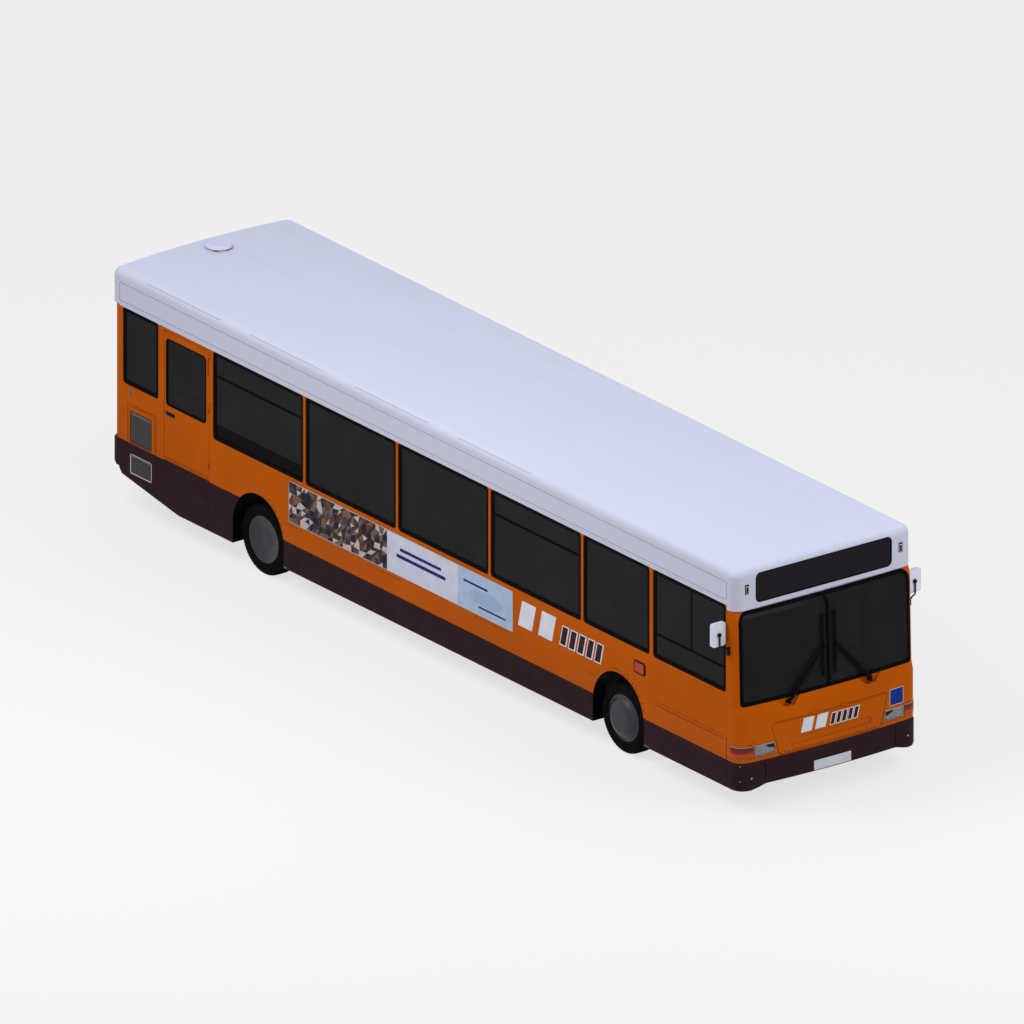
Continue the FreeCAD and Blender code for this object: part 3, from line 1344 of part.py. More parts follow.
def mirrors():
    """A mirror head each side on a bent arm from the front pillar."""
    x, y, z = number("mirror_x"), number("mirror_y"), number("mirror_z")
    width, height, depth = (number(alias) for alias in
                            ("mirror_width", "mirror_height", "mirror_depth"))
    radius, bracket_width = number("arm_radius"), number("bracket_width")
    half = half_width.number
    made = []
    for sign in (1, -1):
        head = Part.makeBox(depth, width, height, Vector(x - depth / 2, sign * y - width / 2,
                                                         z - height / 2))
        edges = [edge for edge in head.Edges if edge.BoundBox.XLength > depth - 1]
        head = head.makeFillet(number("mirror_corner"), edges)
        foot_z = z - height / 2 - number("arm_drop")
        front = x + depth / 2 + radius + number("arm_stand")
        ahead = front + number("arm_sweep")
        arm = [
            Vector(front, sign * y, z),
            Vector(front, sign * y, foot_z),
            Vector(ahead, sign * (half + number("arm_elbow")), foot_z),
            Vector(ahead, sign * (half + number("arm_foot")), foot_z - number("arm_fall")),
        ]
        tube = swept_tube(arm, radius, number("arm_bend"))
        ball = Part.makeSphere(number("mirror_ball"), Vector(x + depth / 2 + PAST, sign * y, z))
        root = half - number("bracket_root")
        bracket_y = root if sign > 0 else -root - bracket_width
        bracket = Part.makeBox(number("bracket_depth"), bracket_width, number("bracket_height"),
                               Vector(front + number("bracket_ahead"), bracket_y,
                                      foot_z - number("bracket_drop")))
        whole = head.fuse([tube, ball, bracket]).cut(SUBPARTS["front_panel"].Shape)
        made.append(max(whole.Solids, key=lambda solid: solid.Volume))
    fixed("mirrors", Part.makeCompound(made))


# Wheels and axles

def tyre_shape(sign, outer, axle_x):
    """A tyre of flat-sided tread pitches, whose flats touch the ground and seat on the rim."""
    width, bulge = number("tyre_width"), number("tyre_bulge")
    radius, bead = number("tyre_radius"), number("bead_radius")
    tread, shoulder = number("tread_width"), number("shoulder_drop")
    bead_inset = number("bead_inset")
    near_side = [(0, bulge), (shoulder * 0.6, radius - shoulder), ((width - tread) / 2, radius)]
    far_side = [(width - depth, height) for depth, height in reversed(near_side)]
    section = [(bead_inset, bead), *near_side, *far_side, (width - bead_inset, bead)]
    pitches = int(number("tyre_pitches"))
    corner = math.cos(math.pi / pitches)
    rings = []
    for pitch in range(pitches):
        angle = (pitch + 0.5) * 2 * math.pi / pitches
        forward, upward = math.sin(angle) / corner, math.cos(angle) / corner
        rings.append([
            Vector(axle_x + height * forward, sign * (outer - depth), radius + height * upward)
            for depth, height in section
        ])
    faces = []
    for ring, following in zip(rings, rings[1:] + rings[:1]):
        edges = zip(ring, ring[1:] + ring[:1], following[1:] + following[:1], following)
        faces += [Part.Face(Part.makePolygon([*edge, edge[0]])) for edge in edges]
    shell = Part.makeShell(faces)
    shell.sewShape()
    solid = Part.Solid(shell)
    if solid.Volume < 0:
        solid.reverse()
    return solid


def flange(outer):
    """A rim's edge as (distance across the bus, radius), from its bead seat out over the tyre's side."""
    bead, reach, lip = size("bead_radius"), size("flange_radius"), size("flange_lip")
    inset, bulge = size("bead_inset"), size("tyre_bulge")
    rise = reach.number - bead.number
    slope = inset * (rise / (bulge.number - bead.number))
    seat = outer - inset + fit * 2
    return [(seat, bead - fit), (seat + slope, reach), (seat + slope + lip, reach)]


def front_wheel(side, sign):
    """A tyre on a pressed wheel whose disc bulges outwards to a closed flat face."""
    outer = size("wheel_face")
    fixed(f"front_tyre_{side}", tyre_shape(sign, outer.number, front_axle_x.number))
    seat, edge, lip = flange(outer)
    back = outer - size("tyre_width") + size("bead_inset")
    barrel = seat[1] - size("barrel_wall")
    skin = size("disc_wall")
    face, flat = outer + size("dome_rise"), size("dome_flat")
    haunch, shoulder = (outer + face) / 2, (outer + face * 3) / 4
    haunch_radius, shoulder_radius = (barrel * 2 + flat) / 3, (barrel + flat * 2) / 3
    hub, spindle = size("hub_radius"), size("spindle_radius") + fit
    bore_end = outer - size("cap_wall")
    points = [
        (back, seat[1]), seat, edge, lip,
        (outer, barrel), (haunch, haunch_radius), (shoulder, shoulder_radius), (face, flat),
        (face, 0), (bore_end, 0), (bore_end, spindle), (outer - size("hub_depth"), spindle),
        (outer - size("hub_depth"), hub), (face - skin, hub), (face - skin, flat - skin / 2),
        (shoulder - skin, shoulder_radius - skin / 2), (haunch - skin, haunch_radius - skin),
        (outer - skin * 3, barrel), (back, barrel),
    ]
    profile = [(across * sign, radius) for across, radius in points]
    rim = turned(f"front_rim_{side}_body", profile, front_axle_x, 0, hub_height)
    keep(f"front_rim_{side}", rim)


def rear_wheels(side, sign):
    """Twin tyres, and their two dished rims bolted face to face as one solid."""
    outer = size("wheel_face")
    step = size("tyre_width") + size("twin_gap")
    faces = (outer.number, (outer - step).number)
    tyres = [tyre_shape(sign, face, rear_axle_x.number) for face in faces]
    fixed(f"rear_tyres_{side}", Part.makeCompound(tyres))
    seat, edge, lip = flange(outer)
    inner_seat = seat[0] - step
    span = size("tyre_width") - size("bead_inset") * 2
    bead, barrel = seat[1], seat[1] - size("barrel_wall")
    spindle, skin = size("spindle_radius") + fit, size("disc_wall")
    disc = outer - size("dish_depth")
    bore_end = disc - size("cap_wall")
    points = [
        seat, edge, lip, (outer - size("bead_inset"), barrel),
        (disc, size("dish_flat")), (disc, 0), (bore_end, 0), (bore_end, spindle),
        (inner_seat - skin * 3, spindle), (inner_seat - skin * 3, barrel - size("barrel_wall")),
        (inner_seat - span, barrel), (inner_seat - span, bead), (inner_seat, bead),
        (inner_seat, barrel), (seat[0] - span, barrel), (seat[0] - span, bead),
    ]
    profile = [(across * sign, radius) for across, radius in points]
    rim = turned(f"rear_rims_{side}_body", profile, rear_axle_x, 0, hub_height)
    keep(f"rear_rims_{side}", rim)


def knuckle(side, sign):
    """The stub axle that steers: a barrel on the kingpin and a spindle for the wheel."""
    pin_y = size("kingpin_y") * sign
    half = size("knuckle_half")
    foot = (front_axle_x, pin_y, hub_height - half)
    barrel = rod(f"barrel_{side}", "Z", size("knuckle_radius"), foot, half * 2)
    reach = size("wheel_face") - size("spindle_setback") - size("kingpin_y")
    start_y = pin_y if sign > 0 else pin_y - reach
    spindle = rod(f"spindle_{side}", "Y", size("spindle_radius"), (front_axle_x, start_y, hub_height),
                  reach)
    solid = fused(f"knuckle_solid_{side}", [barrel, spindle])
    below = (front_axle_x, pin_y, hub_height - half - PAST)
    bore = rod(f"kingpin_bore_{side}", "Z", size("kingpin_radius") + fit, below, (half + PAST) * 2)
    keep(f"knuckle_{side}", cut(f"knuckle_body_{side}", solid, [bore]))


def mirrored_span(sign, near, far):
    """A span across the bus between two distances from its centreline, on one side of it."""
    return (near, far) if sign > 0 else (-far, -near)


def front_axle():
    """A dropped beam with yokes and kingpins at its ends, and arms that carry it from the frame."""
    bottom, height, pin_y = size("beam_bottom"), size("beam_height"), size("kingpin_y")
    half, depth, post = size("ear_half"), size("yoke_depth"), size("yoke_post")
    clearance, ear = size("ear_clearance"), size("ear_height")
    beam_half = size("beam_width") / 2
    pieces = [box("beam", (front_axle_x - beam_half, front_axle_x + beam_half),
                  (depth - pin_y, pin_y - depth), (bottom, bottom + height))]
    top = hub_height + clearance + ear
    arm_y, arm_half = size("front_arm_y"), size("front_arm_width") / 2
    tail = front_axle_x - size("front_arm_length")
    for side, sign in SIDES:
        post_y = mirrored_span(sign, pin_y - depth, pin_y - depth + post)
        ear_y = mirrored_span(sign, pin_y - depth, pin_y + half)
        span = (front_axle_x - half, front_axle_x + half)
        pieces.append(box(f"post_{side}", span, post_y, (bottom, top)))
        pieces.append(box(f"upper_ear_{side}", span, ear_y, (hub_height + clearance, top)))
        low_ear = (hub_height - clearance - ear, hub_height - clearance)
        pieces.append(box(f"lower_ear_{side}", span, ear_y, low_ear))
        pin_start = (front_axle_x, pin_y * sign, hub_height - clearance - ear / 2)
        pieces.append(rod(f"kingpin_{side}", "Z", size("kingpin_radius"), pin_start,
                          clearance * 2 + ear))
        y = mirrored_span(sign, arm_y - arm_half, arm_y + arm_half)
        pieces.append(box(f"arm_{side}", (tail, front_axle_x), y,
                          (bottom, bottom + size("front_arm_height"))))
        pieces.append(box(f"arm_head_{side}", (tail, tail + size("front_arm_head")), y,
                          (bottom, size("low_rail_bottom"))))
    keep("front_axle", fused("front_axle_solid", pieces))


def rear_axle():
    """The driven axle: its tube, the differential, the hubs' spindles and the carrying arms."""
    reach = size("wheel_face") - size("rear_spindle_setback")
    tube = size("box_inner_rear") - size("axle_tube_short")
    housing, length = size("differential_width"), size("rear_arm_half")
    pieces = [
        rod("axle_spindle", "Y", size("spindle_radius"), (rear_axle_x, -reach, hub_height), reach * 2),
        rod("axle_tube", "Y", size("axle_tube_radius"), (rear_axle_x, -tube, hub_height), tube * 2),
        rod("differential", "Y", size("differential_radius"), (rear_axle_x, -housing / 2, hub_height),
            housing),
        rod("pinion_nose", "X", size("pinion_radius"), (rear_axle_x - length, 0, hub_height), length),
    ]
    rail, half = size("rail_y"), size("rear_arm_width") / 2
    for side, sign in SIDES:
        pieces.append(box(f"rear_arm_{side}", (rear_axle_x - length, rear_axle_x + length),
                          mirrored_span(sign, rail - half, rail + half),
                          (hub_height - size("rear_arm_height"), hub_height)))
    keep("rear_axle", fused("rear_axle_solid", pieces))


def air_springs():
    """Four rubber bellows between the rear axle's arms and the frame."""
    made = []
    shift, length = size("bellows_reach"), size("high_rail_bottom") - hub_height
    for side, sign in SIDES:
        for end, x in (("ahead", rear_axle_x + shift), ("behind", rear_axle_x - shift)):
            start = (x, size("rail_y") * sign, hub_height)
            made.append(rod(f"bellows_{side}_{end}", "Z", size("bellows_radius"), start, length))
    keep("air_springs", grouped("bellows", made))


# Floor, frame, engine and the inside

def floor_body():
    """Low floor, two steps, the high rear floor and the platform under the rear bench."""
    low, high, bench = size("low_floor"), size("high_floor"), size("bench_floor")
    thick = size("floor_thickness")
    one, two, rise = size("step_one"), size("step_two"), size("bench_step")
    middle = (low + high) / 2
    front, rear = front_joint - fit, -rear_joint
    profile = [
        (front, low - thick), (front, low), (one, low), (one, middle), (two, middle), (two, high),
        (rise, high), (rise, bench), (rear, bench), (rear, bench - thick),
        (rise - thick, bench - thick), (rise - thick, high - thick), (two - thick, high - thick),
        (two - thick, middle - thick), (one - thick, middle - thick), (one - thick, low - thick),
    ]
    boards = padded("floor_boards", "XZ", -inner_wall, inner_wall * 2, [profile])
    holes = []
    for end, axle_x, inner in (("front", front_axle_x, size("box_inner_front")),
                               ("rear", rear_axle_x, size("box_inner_rear"))):
        half = size("box_half_length")
        x = (axle_x - half, axle_x + half)
        z = (size("beam_bottom"), size("box_top"))
        for side, sign in SIDES:
            y = mirrored_span(sign, inner, inner_wall + PAST)
            holes.append(box(f"{end}_{side}_well", x, y, z))
    keep("floor", cut("floor_cut", boards, holes))


def wheel_boxes():
    """Covers over the wheels inside: a top, an inner side and two ends each."""
    made = []
    wall_thickness = size("box_wall")
    for end, axle_x, inner, foot in (
            ("front", front_axle_x, size("box_inner_front"), size("low_floor") - size("floor_thickness")),
            ("rear", rear_axle_x, size("box_inner_rear"), size("high_floor") - size("floor_thickness"))):
        half = size("box_half_length") - fit
        for side, sign in SIDES:
            x = (axle_x - half, axle_x + half)
            name = f"{end}_{side}_box"
            y = mirrored_span(sign, inner + fit, inner_wall)
            hollow_y = mirrored_span(sign, inner + fit + wall_thickness, inner_wall + PAST)
            block = box(name + "_block", x, y, (foot, size("box_top") + wall_thickness))
            hollow_x = (axle_x - half + wall_thickness, axle_x + half - wall_thickness)
            hollow = box(name + "_hollow", hollow_x, hollow_y, (foot - PAST, size("box_top")))
            made.append(cut(name, block, [hollow]))
    keep("wheel_boxes", grouped("wheel_box_set", made))


def underframe():
    """Two rails that kick up over the rear axle, with a shackle hole near each front end."""
    low, high = size("low_floor") - size("floor_thickness"), size("high_floor") - size("floor_thickness")
    low_bottom, high_bottom = size("low_rail_bottom"), size("high_rail_bottom")
    kick = size("step_two") - size("floor_thickness") - size("kick_back")
    post = kick + size("kick_post")
    profile = [
        (front_joint - fit, low_bottom), (front_joint - fit, low), (post, low),
        (post, high), (-rear_joint, high), (-rear_joint, high_bottom),
        (kick, high_bottom), (kick, low_bottom),
    ]
    width = size("rail_width")
    rails = []
    for side, sign in SIDES:
        start = -size("rail_y") * sign - width / 2
        rail = padded(f"{side}_rail", "XZ", start, width, [profile])
        foot = (size("tow_hole_x"), size("rail_y") * sign, low_bottom - gap)
        hole = rod(f"{side}_shackle_hole", "Z", size("tow_hole_radius"), foot, low - low_bottom + gap * 2)
        rails.append(cut(f"{side}_rail_body", rail, [hole]))
    keep("underframe", grouped("rail_pair", rails))


def cross_members():
    """Bearers under the floor: between the rails, and from each rail out to the wall."""
    width, inner = size("bearer_width"), size("rail_y") - size("rail_width") / 2
    outer = size("rail_y") + size("rail_width") / 2
    low, high = size("low_floor") - size("floor_thickness"), size("high_floor") - size("floor_thickness")
    low_span = (size("low_rail_bottom"), low)
    high_span = (high - size("high_bearer_height"), high)
    spacing = size("bearer_pitch")
    rows = [(size("first_bearer") + spacing * count, low_span, inner_wall) for count in range(4)]
    rows.append((size("bearer_behind_arch"), low_span, size("box_inner_front") - gap))
    rows += [(size(alias), low_span, inner_wall) for alias in ("bearer_before_arch", "nose_bearer")]
    rows += [(size(alias), high_span, inner_wall)
             for alias in ("kick_bearer", "bearer_behind_axle", "engine_bearer")]
    made = []
    for count, (x, z, reach) in enumerate(rows):
        span = (x, x + width)
        made.append(box(f"bearer_{count}", span, (-inner, inner), z))
        for side, sign in SIDES:
            made.append(box(f"bearer_{count}_{side}", span, mirrored_span(sign, outer, reach), z))
    keep("cross_members", grouped("bearers", made))


def engine():
    """A plain block at the engine's size and place, between the rear rails."""
    half = size("rail_y") - size("rail_width") / 2
    rear, front = size("engine_rear"), size("engine_front")
    deck, head_half = size("high_rail_bottom") + size("block_rise"), size("head_half")
    block = box("engine_block", (rear, front), (-half, half), (size("engine_bottom"), deck))
    head = box("engine_head", (rear + size("head_setback"), front - size("head_short")),
               (-head_half, head_half), (deck, size("engine_top")))
    keep("engine", fused("engine_solid", [block, head]))


def seat(name, x, y, floor):
    """A double seat: cushion and raked back on a pedestal, all one moulding."""
    top, back = floor + size("cushion_height"), floor + size("back_height")
    deep, thick, rake = size("cushion_depth"), size("back_thickness"), size("back_rake")
    thickness = size("cushion_thickness")
    low, post = top - thickness, size("seat_post")
    post_back = size("pedestal_back")
    profile = [
        (x + post_back, floor), (x + post - thickness / 4, floor), (x + post - thickness / 2, low),
        (x + deep, low + thickness / 4), (x + deep + thickness / 8, top),
        (x + thick, top - thickness / 4), (x - rake, back), (x - rake - thick / 2, back),
        (x - rake - thick * 0.4, back - thick), (x, low), (x + post_back + thickness / 4, low),
    ]
    y0, y1 = y
    return padded(name, "XZ", -y1, dim(y1) - y0, [profile])


def seats():
    """Forward-facing pairs both sides of the aisle, the rear bench and the driver's seat."""
    made = []
    low, high, bench = size("low_floor"), size("high_floor"), size("bench_floor")
    pitch = size("seat_pitch")
    inner, outer = size("seat_aisle"), size("seat_outer")
    rows = [(size("first_row") - pitch * count, low) for count in range(5)]
    behind_box = rear_axle_x - size("box_half_length") - size("seat_post")
    rows += [(behind_box - pitch * count, high) for count in range(2)]
    for count, (x, floor) in enumerate(rows):
        for side, sign in SIDES:
            if side == "right" and count == len(rows) - 1:
                continue
            made.append(seat(f"seat_{count}_{side}", x, mirrored_span(sign, inner, outer), floor))
    made.append(seat("rear_bench", size("bench_step") - size("bench_reach"), (-outer, outer), bench))
    driver_y = mirrored_span(-1, size("driver_seat_inner"), size("driver_seat_outer"))
    made.append(seat("driver_seat", size("driver_seat_x"), driver_y, low + size("cab_floor_rise")))
    keep("seats", grouped("seat_set", made))


def cab():
    """The driver's desk, plinth, steering wheel and the screen behind the driver."""
    low = size("low_floor")
    front = front_joint - gap * 1.5
    near, lip, leg = front - size("desk_depth"), size("desk_lip"), front - size("desk_leg")
    desk = [
        (front, low), (front, size("desk_front_top")), (front - lip * 2, size("desk_top")),
        (near, size("desk_rear_top")), (near, size("desk_rear_top") - lip),
        (leg - lip, size("desk_rear_top") - lip * 2), (leg, low),
    ]
    plinth_span = (size("plinth_rear"), size("plinth_front"))
    plinth_y = (-inner_wall, -size("plinth_inner"))
    pieces = [
        padded("desk", "XZ", size("rubber_face"), inner_wall - size("rubber_face"), [desk]),
        box("plinth", plinth_span, plinth_y, (low, low + size("cab_floor_rise"))),
    ]
    desk_and_plinth = keep("cab_desk", grouped("desk_and_plinth", pieces))
    waist, top = size("cab_screen_waist"), size("cab_screen_top")
    screen = padded("partition", "YZ", size("cab_screen_x"), size("cab_screen_thickness"), [
        [(-inner_wall, low), (-size("cab_screen_inner"), low), (-size("cab_screen_inner"), waist),
         (-size("cab_screen_narrow"), top), (-inner_wall, top)]])
    keep("cab_partition", screen)
    doc.recompute()
    fixed("steering_wheel", steering_wheel(desk_and_plinth.Shape))


def steering_wheel(desk):
    """Rim, hub, one bar of spokes and the column down to the desk."""
    centre = Vector(number("steering_x"), -number("steering_y"), number("steering_z"))
    tilt, radius = number("steering_tilt"), number("steering_radius")
    grip, hub_radius = number("steering_grip"), number("steering_hub")
    axis = Vector(math.sin(math.radians(tilt)), 0, -math.cos(math.radians(tilt)))
    ring = Part.makeTorus(radius, grip, centre, axis)
    hub = Part.makeCylinder(hub_radius, hub_radius * 4 / 3, centre - axis * PAST, axis)
    spokes = Part.makeBox(2 * grip, 2 * radius, grip, Vector(-grip, -radius, -grip / 2))
    spokes.Placement = Placement(centre, Rotation(Vector(0, 1, 0), -tilt))
    column = Part.makeCylinder(number("column_radius"), number("steering_z"), centre, axis)
    wheel = ring.fuse([hub, column, spokes]).cut(desk)
    return max(wheel.Solids, key=lambda solid: solid.Volume)


def ceiling(y):
    """Height of the inside of the roof at a distance from the centreline."""
    half = half_width.number - number("roof_wall")
    crown = number("crown_height") - number("roof_wall")
    camber = number("roof_camber")
    radius = (half ** 2 + camber ** 2) / (2 * camber)
    return crown - radius + math.sqrt(radius ** 2 - y ** 2)


def grab_poles():
    """Upright poles from the floor to the ceiling beside the aisle."""
    made = []
    radius = number("pole_radius")
    y = number("seat_aisle") - number("pole_inset")
    top = ceiling(y + radius) - number("fit")
    low, high = number("low_floor"), number("high_floor")
    places = [(number("first_pole") - number("pole_pitch") * count, low) for count in range(4)]
    places += [(number(alias), high) for alias in ("high_pole", "last_pole")]
    for x, floor in places:
        for sign in (1, -1):
            made.append(Part.makeCylinder(radius, top - floor, Vector(x, sign * y, floor)))
    fixed("grab_poles", Part.makeCompound(made))


# Wipers

def wipers():
    """Two parked wipers: an upright blade near the middle bar and twin arms from a spindle."""
    nose, foot_z = number("nose_reach") - number("screen_lean"), number("screen_bottom")
    rake = number("screen_rake") / (number("screen_bend") - foot_z)
    bow = number("bow_radius")

    def ahead(y, z, stand):
        """A point in front of the windscreen's skin."""
        back = bow - math.sqrt(bow ** 2 - y ** 2)
        return Vector(nose - back - rake * (z - foot_z) + stand, y, z)

    stand, pivot_z = number("blade_stand"), foot_z - number("wiper_drop")
    thin, wide = number("arm_thickness"), number("main_arm")
    rise = Vector(0, 0, number("arm_gap"))
    cap, length = number("spindle_cap"), number("spindle_length")
    made = []
    for sign in (1, -1):
        y = sign * number("blade_y")
        foot = ahead(y, number("blade_bottom"), stand)
        head = ahead(y, number("blade_top"), stand)
        blade = swept_bar(foot, head, number("blade_depth"), number("blade_width"))
        pivot = ahead(sign * number("notch_y"), pivot_z, number("wiper_stand"))
        top = ahead(y, number("blade_joint"), number("wiper_stand") + thin / 2)
        arms = [
            swept_bar(pivot, top, thin, wide),
            swept_bar(pivot + rise, top + rise, thin, number("guide_arm")),
        ]
        spindle = Part.makeCylinder(cap, length, pivot - Vector(length - thin, 0, 0), Vector(1, 0, 0))
        tie_length = number("wiper_stand") + stand
        tie = Part.makeCylinder(thin, tie_length, top + rise / 2 - Vector(tie_length - wide, 0, 0),
                                Vector(1, 0, 0))
        link = Part.makeBox(thin, 2 * thin, rise.z + wide, top - Vector(thin / 2, thin, wide / 2))
        crank = Part.makeBox(thin, 2 * wide, rise.z + 2 * wide, pivot - Vector(thin / 2, wide, wide))
        made.append(blade.fuse(arms + [spindle, tie, link, crank]))
    carriers = [SUBPARTS[name].Shape for name in
                ("front_panel", "windscreen_glass", "windscreen_rubber")]
    trimmed = [piece.cut(carriers) for piece in made]
    largest = [max(piece.Solids, key=lambda solid: solid.Volume) for piece in trimmed]
    fixed("wipers", Part.makeCompound(largest))


def swept_bar(start, end, depth, width):
    """A straight flat bar between two points: depth along X, width across."""
    run = end - start
    bar = Part.makeBox(depth, width, run.Length, Vector(-depth / 2, -width / 2, 0))
    bar.Placement = Placement(start, Rotation(Vector(0, 0, 1), run))
    return bar


side_wall("left", 1)
side_wall("right", -1)
skirts()
glazing()
front_end()
front_bumper()
roof_and_dome()
rear_end()
emergency_door()
entrance_doors()
grilles()
roof_vent()
mirrors()
for side_name, side_sign in SIDES:
    front_wheel(side_name, side_sign)
    rear_wheels(side_name, side_sign)
    knuckle(side_name, side_sign)
front_axle()
rear_axle()
air_springs()
floor_body()
wheel_boxes()
underframe()
cross_members()
engine()
seats()
cab()
grab_poles()
wipers()

doc.recompute()
for item in doc.Objects:
    troubles = {"Invalid", "Error"} & set(item.State)
    if troubles:
        raise RuntimeError(f"{item.Label} failed: {item.State}")
for label, item in SUBPARTS.items():
    if item.Shape.isNull() or not item.Shape.isValid() or not item.Shape.Solids:
        raise RuntimeError(f"{label} has no valid shape")

os.makedirs("parts", exist_ok=True)
for label, item in SUBPARTS.items():
    item.Shape.exportStep(f"parts/{label}.step")
print(f"wrote {len(SUBPARTS)} sub-parts")
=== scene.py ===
"""The finish, trim and small fittings of a single-deck city bus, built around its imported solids.

Lengths are in metres. +X points forward, +Y to the kerb side, and the origin lies on the ground
under the middle of the bus.
"""

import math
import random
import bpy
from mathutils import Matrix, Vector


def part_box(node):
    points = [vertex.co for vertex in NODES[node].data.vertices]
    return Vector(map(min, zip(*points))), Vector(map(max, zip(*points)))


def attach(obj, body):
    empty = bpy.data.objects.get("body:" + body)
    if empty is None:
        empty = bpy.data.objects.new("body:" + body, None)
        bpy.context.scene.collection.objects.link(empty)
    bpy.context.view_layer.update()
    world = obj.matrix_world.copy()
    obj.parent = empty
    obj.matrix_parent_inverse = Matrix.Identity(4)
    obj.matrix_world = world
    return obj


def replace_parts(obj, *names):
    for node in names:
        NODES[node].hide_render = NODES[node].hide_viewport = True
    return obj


bl_info = {
    "name": "City Bus",
    "version": (1, 0, 0),
    "blender": (4, 5, 0),
    "location": "View3D > Sidebar > City Bus",
    "description": "Finishes, trim and fittings of a single-deck city bus",
    "category": "Object",
}

import bmesh
import bpy
from bpy.props import FloatProperty, FloatVectorProperty, IntProperty, PointerProperty
from bpy.types import Operator, Panel, PropertyGroup
from mathutils import Matrix, Vector
from mathutils.bvhtree import BVHTree

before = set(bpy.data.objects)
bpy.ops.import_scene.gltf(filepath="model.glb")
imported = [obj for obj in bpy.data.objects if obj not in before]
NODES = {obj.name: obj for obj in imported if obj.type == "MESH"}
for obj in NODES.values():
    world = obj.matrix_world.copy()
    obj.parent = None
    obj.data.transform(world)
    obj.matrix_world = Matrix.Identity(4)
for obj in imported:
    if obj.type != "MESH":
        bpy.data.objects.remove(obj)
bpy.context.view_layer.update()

DONE = {"FINISHED"}
SIDES = {"left": 1, "right": -1}
MIRRORED = (1, -1)
ARCHES = ("front_tyre_left", "rear_tyres_left")  # the nodes that the arches are centred over
ARCH_CENTRE = 0.490
TYRE_RADIUS = 0.4055  # and the height of every axle
TYRE_WIDTH = 0.225
SUNK = 0.002  # how far films and lines reach into their panel
LONG_DASHES = (0.05, 0.014)  # dash and gap
SHORT_DASHES = (0.03, 0.02)
CORE = 0.0005  # radius at which a turned form closes on its axis


def srgb(red, green, blue):
    """A display colour, 0 to 255 a channel, as scene-linear values."""
    def linear(value):
        value /= 255
        return value / 12.92 if value <= 0.04045 else ((value + 0.055) / 1.055) ** 2.4
    return linear(red), linear(green), linear(blue)


def colour(name, description, *display):
    return FloatVectorProperty(name=name, description=description, subtype="COLOR", size=3,
                               min=0, max=1, default=srgb(*display))


def length(name, description, default, **limits):
    return FloatProperty(name=name, description=description, default=default, subtype="DISTANCE",
                         unit="LENGTH", **limits)


def angle(name, description, degrees):
    return FloatProperty(name=name, description=description, default=math.radians(degrees),
                         subtype="ANGLE", unit="ROTATION")


class BusColours(PropertyGroup):
    """Paints, mouldings, rubber and glass."""

    body: colour("Body", "Paint of the sides and ends", 186, 85, 4)
    skirt: colour("Skirt", "Paint of the skirts and bumpers", 44, 27, 33)
    roof: colour("Roof", "Roof and dome mouldings", 206, 211, 232)
    # Painted shade: a greyer colour for the moulding's rounding below the roof's edge, standing in
    # for the shade there.
    roof_painted_shade: colour("Roof side", "Roof moulding below its edge", 190, 192, 209)
    rubber: colour("Rubber", "Window rubbers and seals", 6, 6, 8)
    window: colour("Window", "Tint of the side windows", 28, 29, 31)
    grille: colour("Grille", "Radiator grilles", 74, 75, 78)
    wheel: colour("Wheel", "Wheel discs", 53, 56, 63)
    tyre: colour("Tyre", "Tyre rubber", 13, 13, 14)
    sign: colour("Sign", "Blank sign on the front", 20, 46, 128)
    chassis: colour("Chassis", "Frame, axles and floor underside", 30, 31, 33)
    seat: colour("Seat", "Seat cloth", 52, 60, 112)
    pole: colour("Pole", "Grab poles", 226, 150, 18)
    floor: colour("Floor", "Floor covering", 78, 82, 88)
    dust: colour("Dust", "Road film on the lower panels", 120, 104, 88)


class BusStage(PropertyGroup):
    """Floor, lamps and the view."""

    azimuth: angle("Azimuth", "View, from the right side to the front", 53.2)
    elevation: angle("Elevation", "View above the level", 21.74)
    frame_width: length("Frame width", "Width of the view", 1024 / 93, min=0)
    aim_x: length("Aim X", "Point in the middle of the view", -0.052)
    aim_z: length("Aim Z", "Height of the middle of the view", 1.4, min=0)
    floor: colour("Floor", "Stage floor", 222, 222, 220)
    floor_shade: FloatProperty(name="Floor shade", description="Share of the floor's own shading",
                               default=0.3, min=0, max=1, subtype="FACTOR")
    key: FloatProperty(name="Key", description="Large soft lamp over the left of the view",
                       default=1000, min=0)
    fill: FloatProperty(name="Fill", description="Soft lamp before the front", default=370, min=0)
    sky: FloatProperty(name="Sky", description="Strength of the even sky", default=0.62, min=0)


class BusSizes(PropertyGroup):
    """Sizes of the trim that the solids leave out."""

    seam: length("Seam", "Width of a panel seam", 0.0045, min=0)
    tread_depth: length("Tread depth", "Grooves of the tyres", 0.011, min=0)
    tread_steps: IntProperty(name="Tread blocks", description="Blocks round a tyre", default=60,
                             min=12)


# Finishes

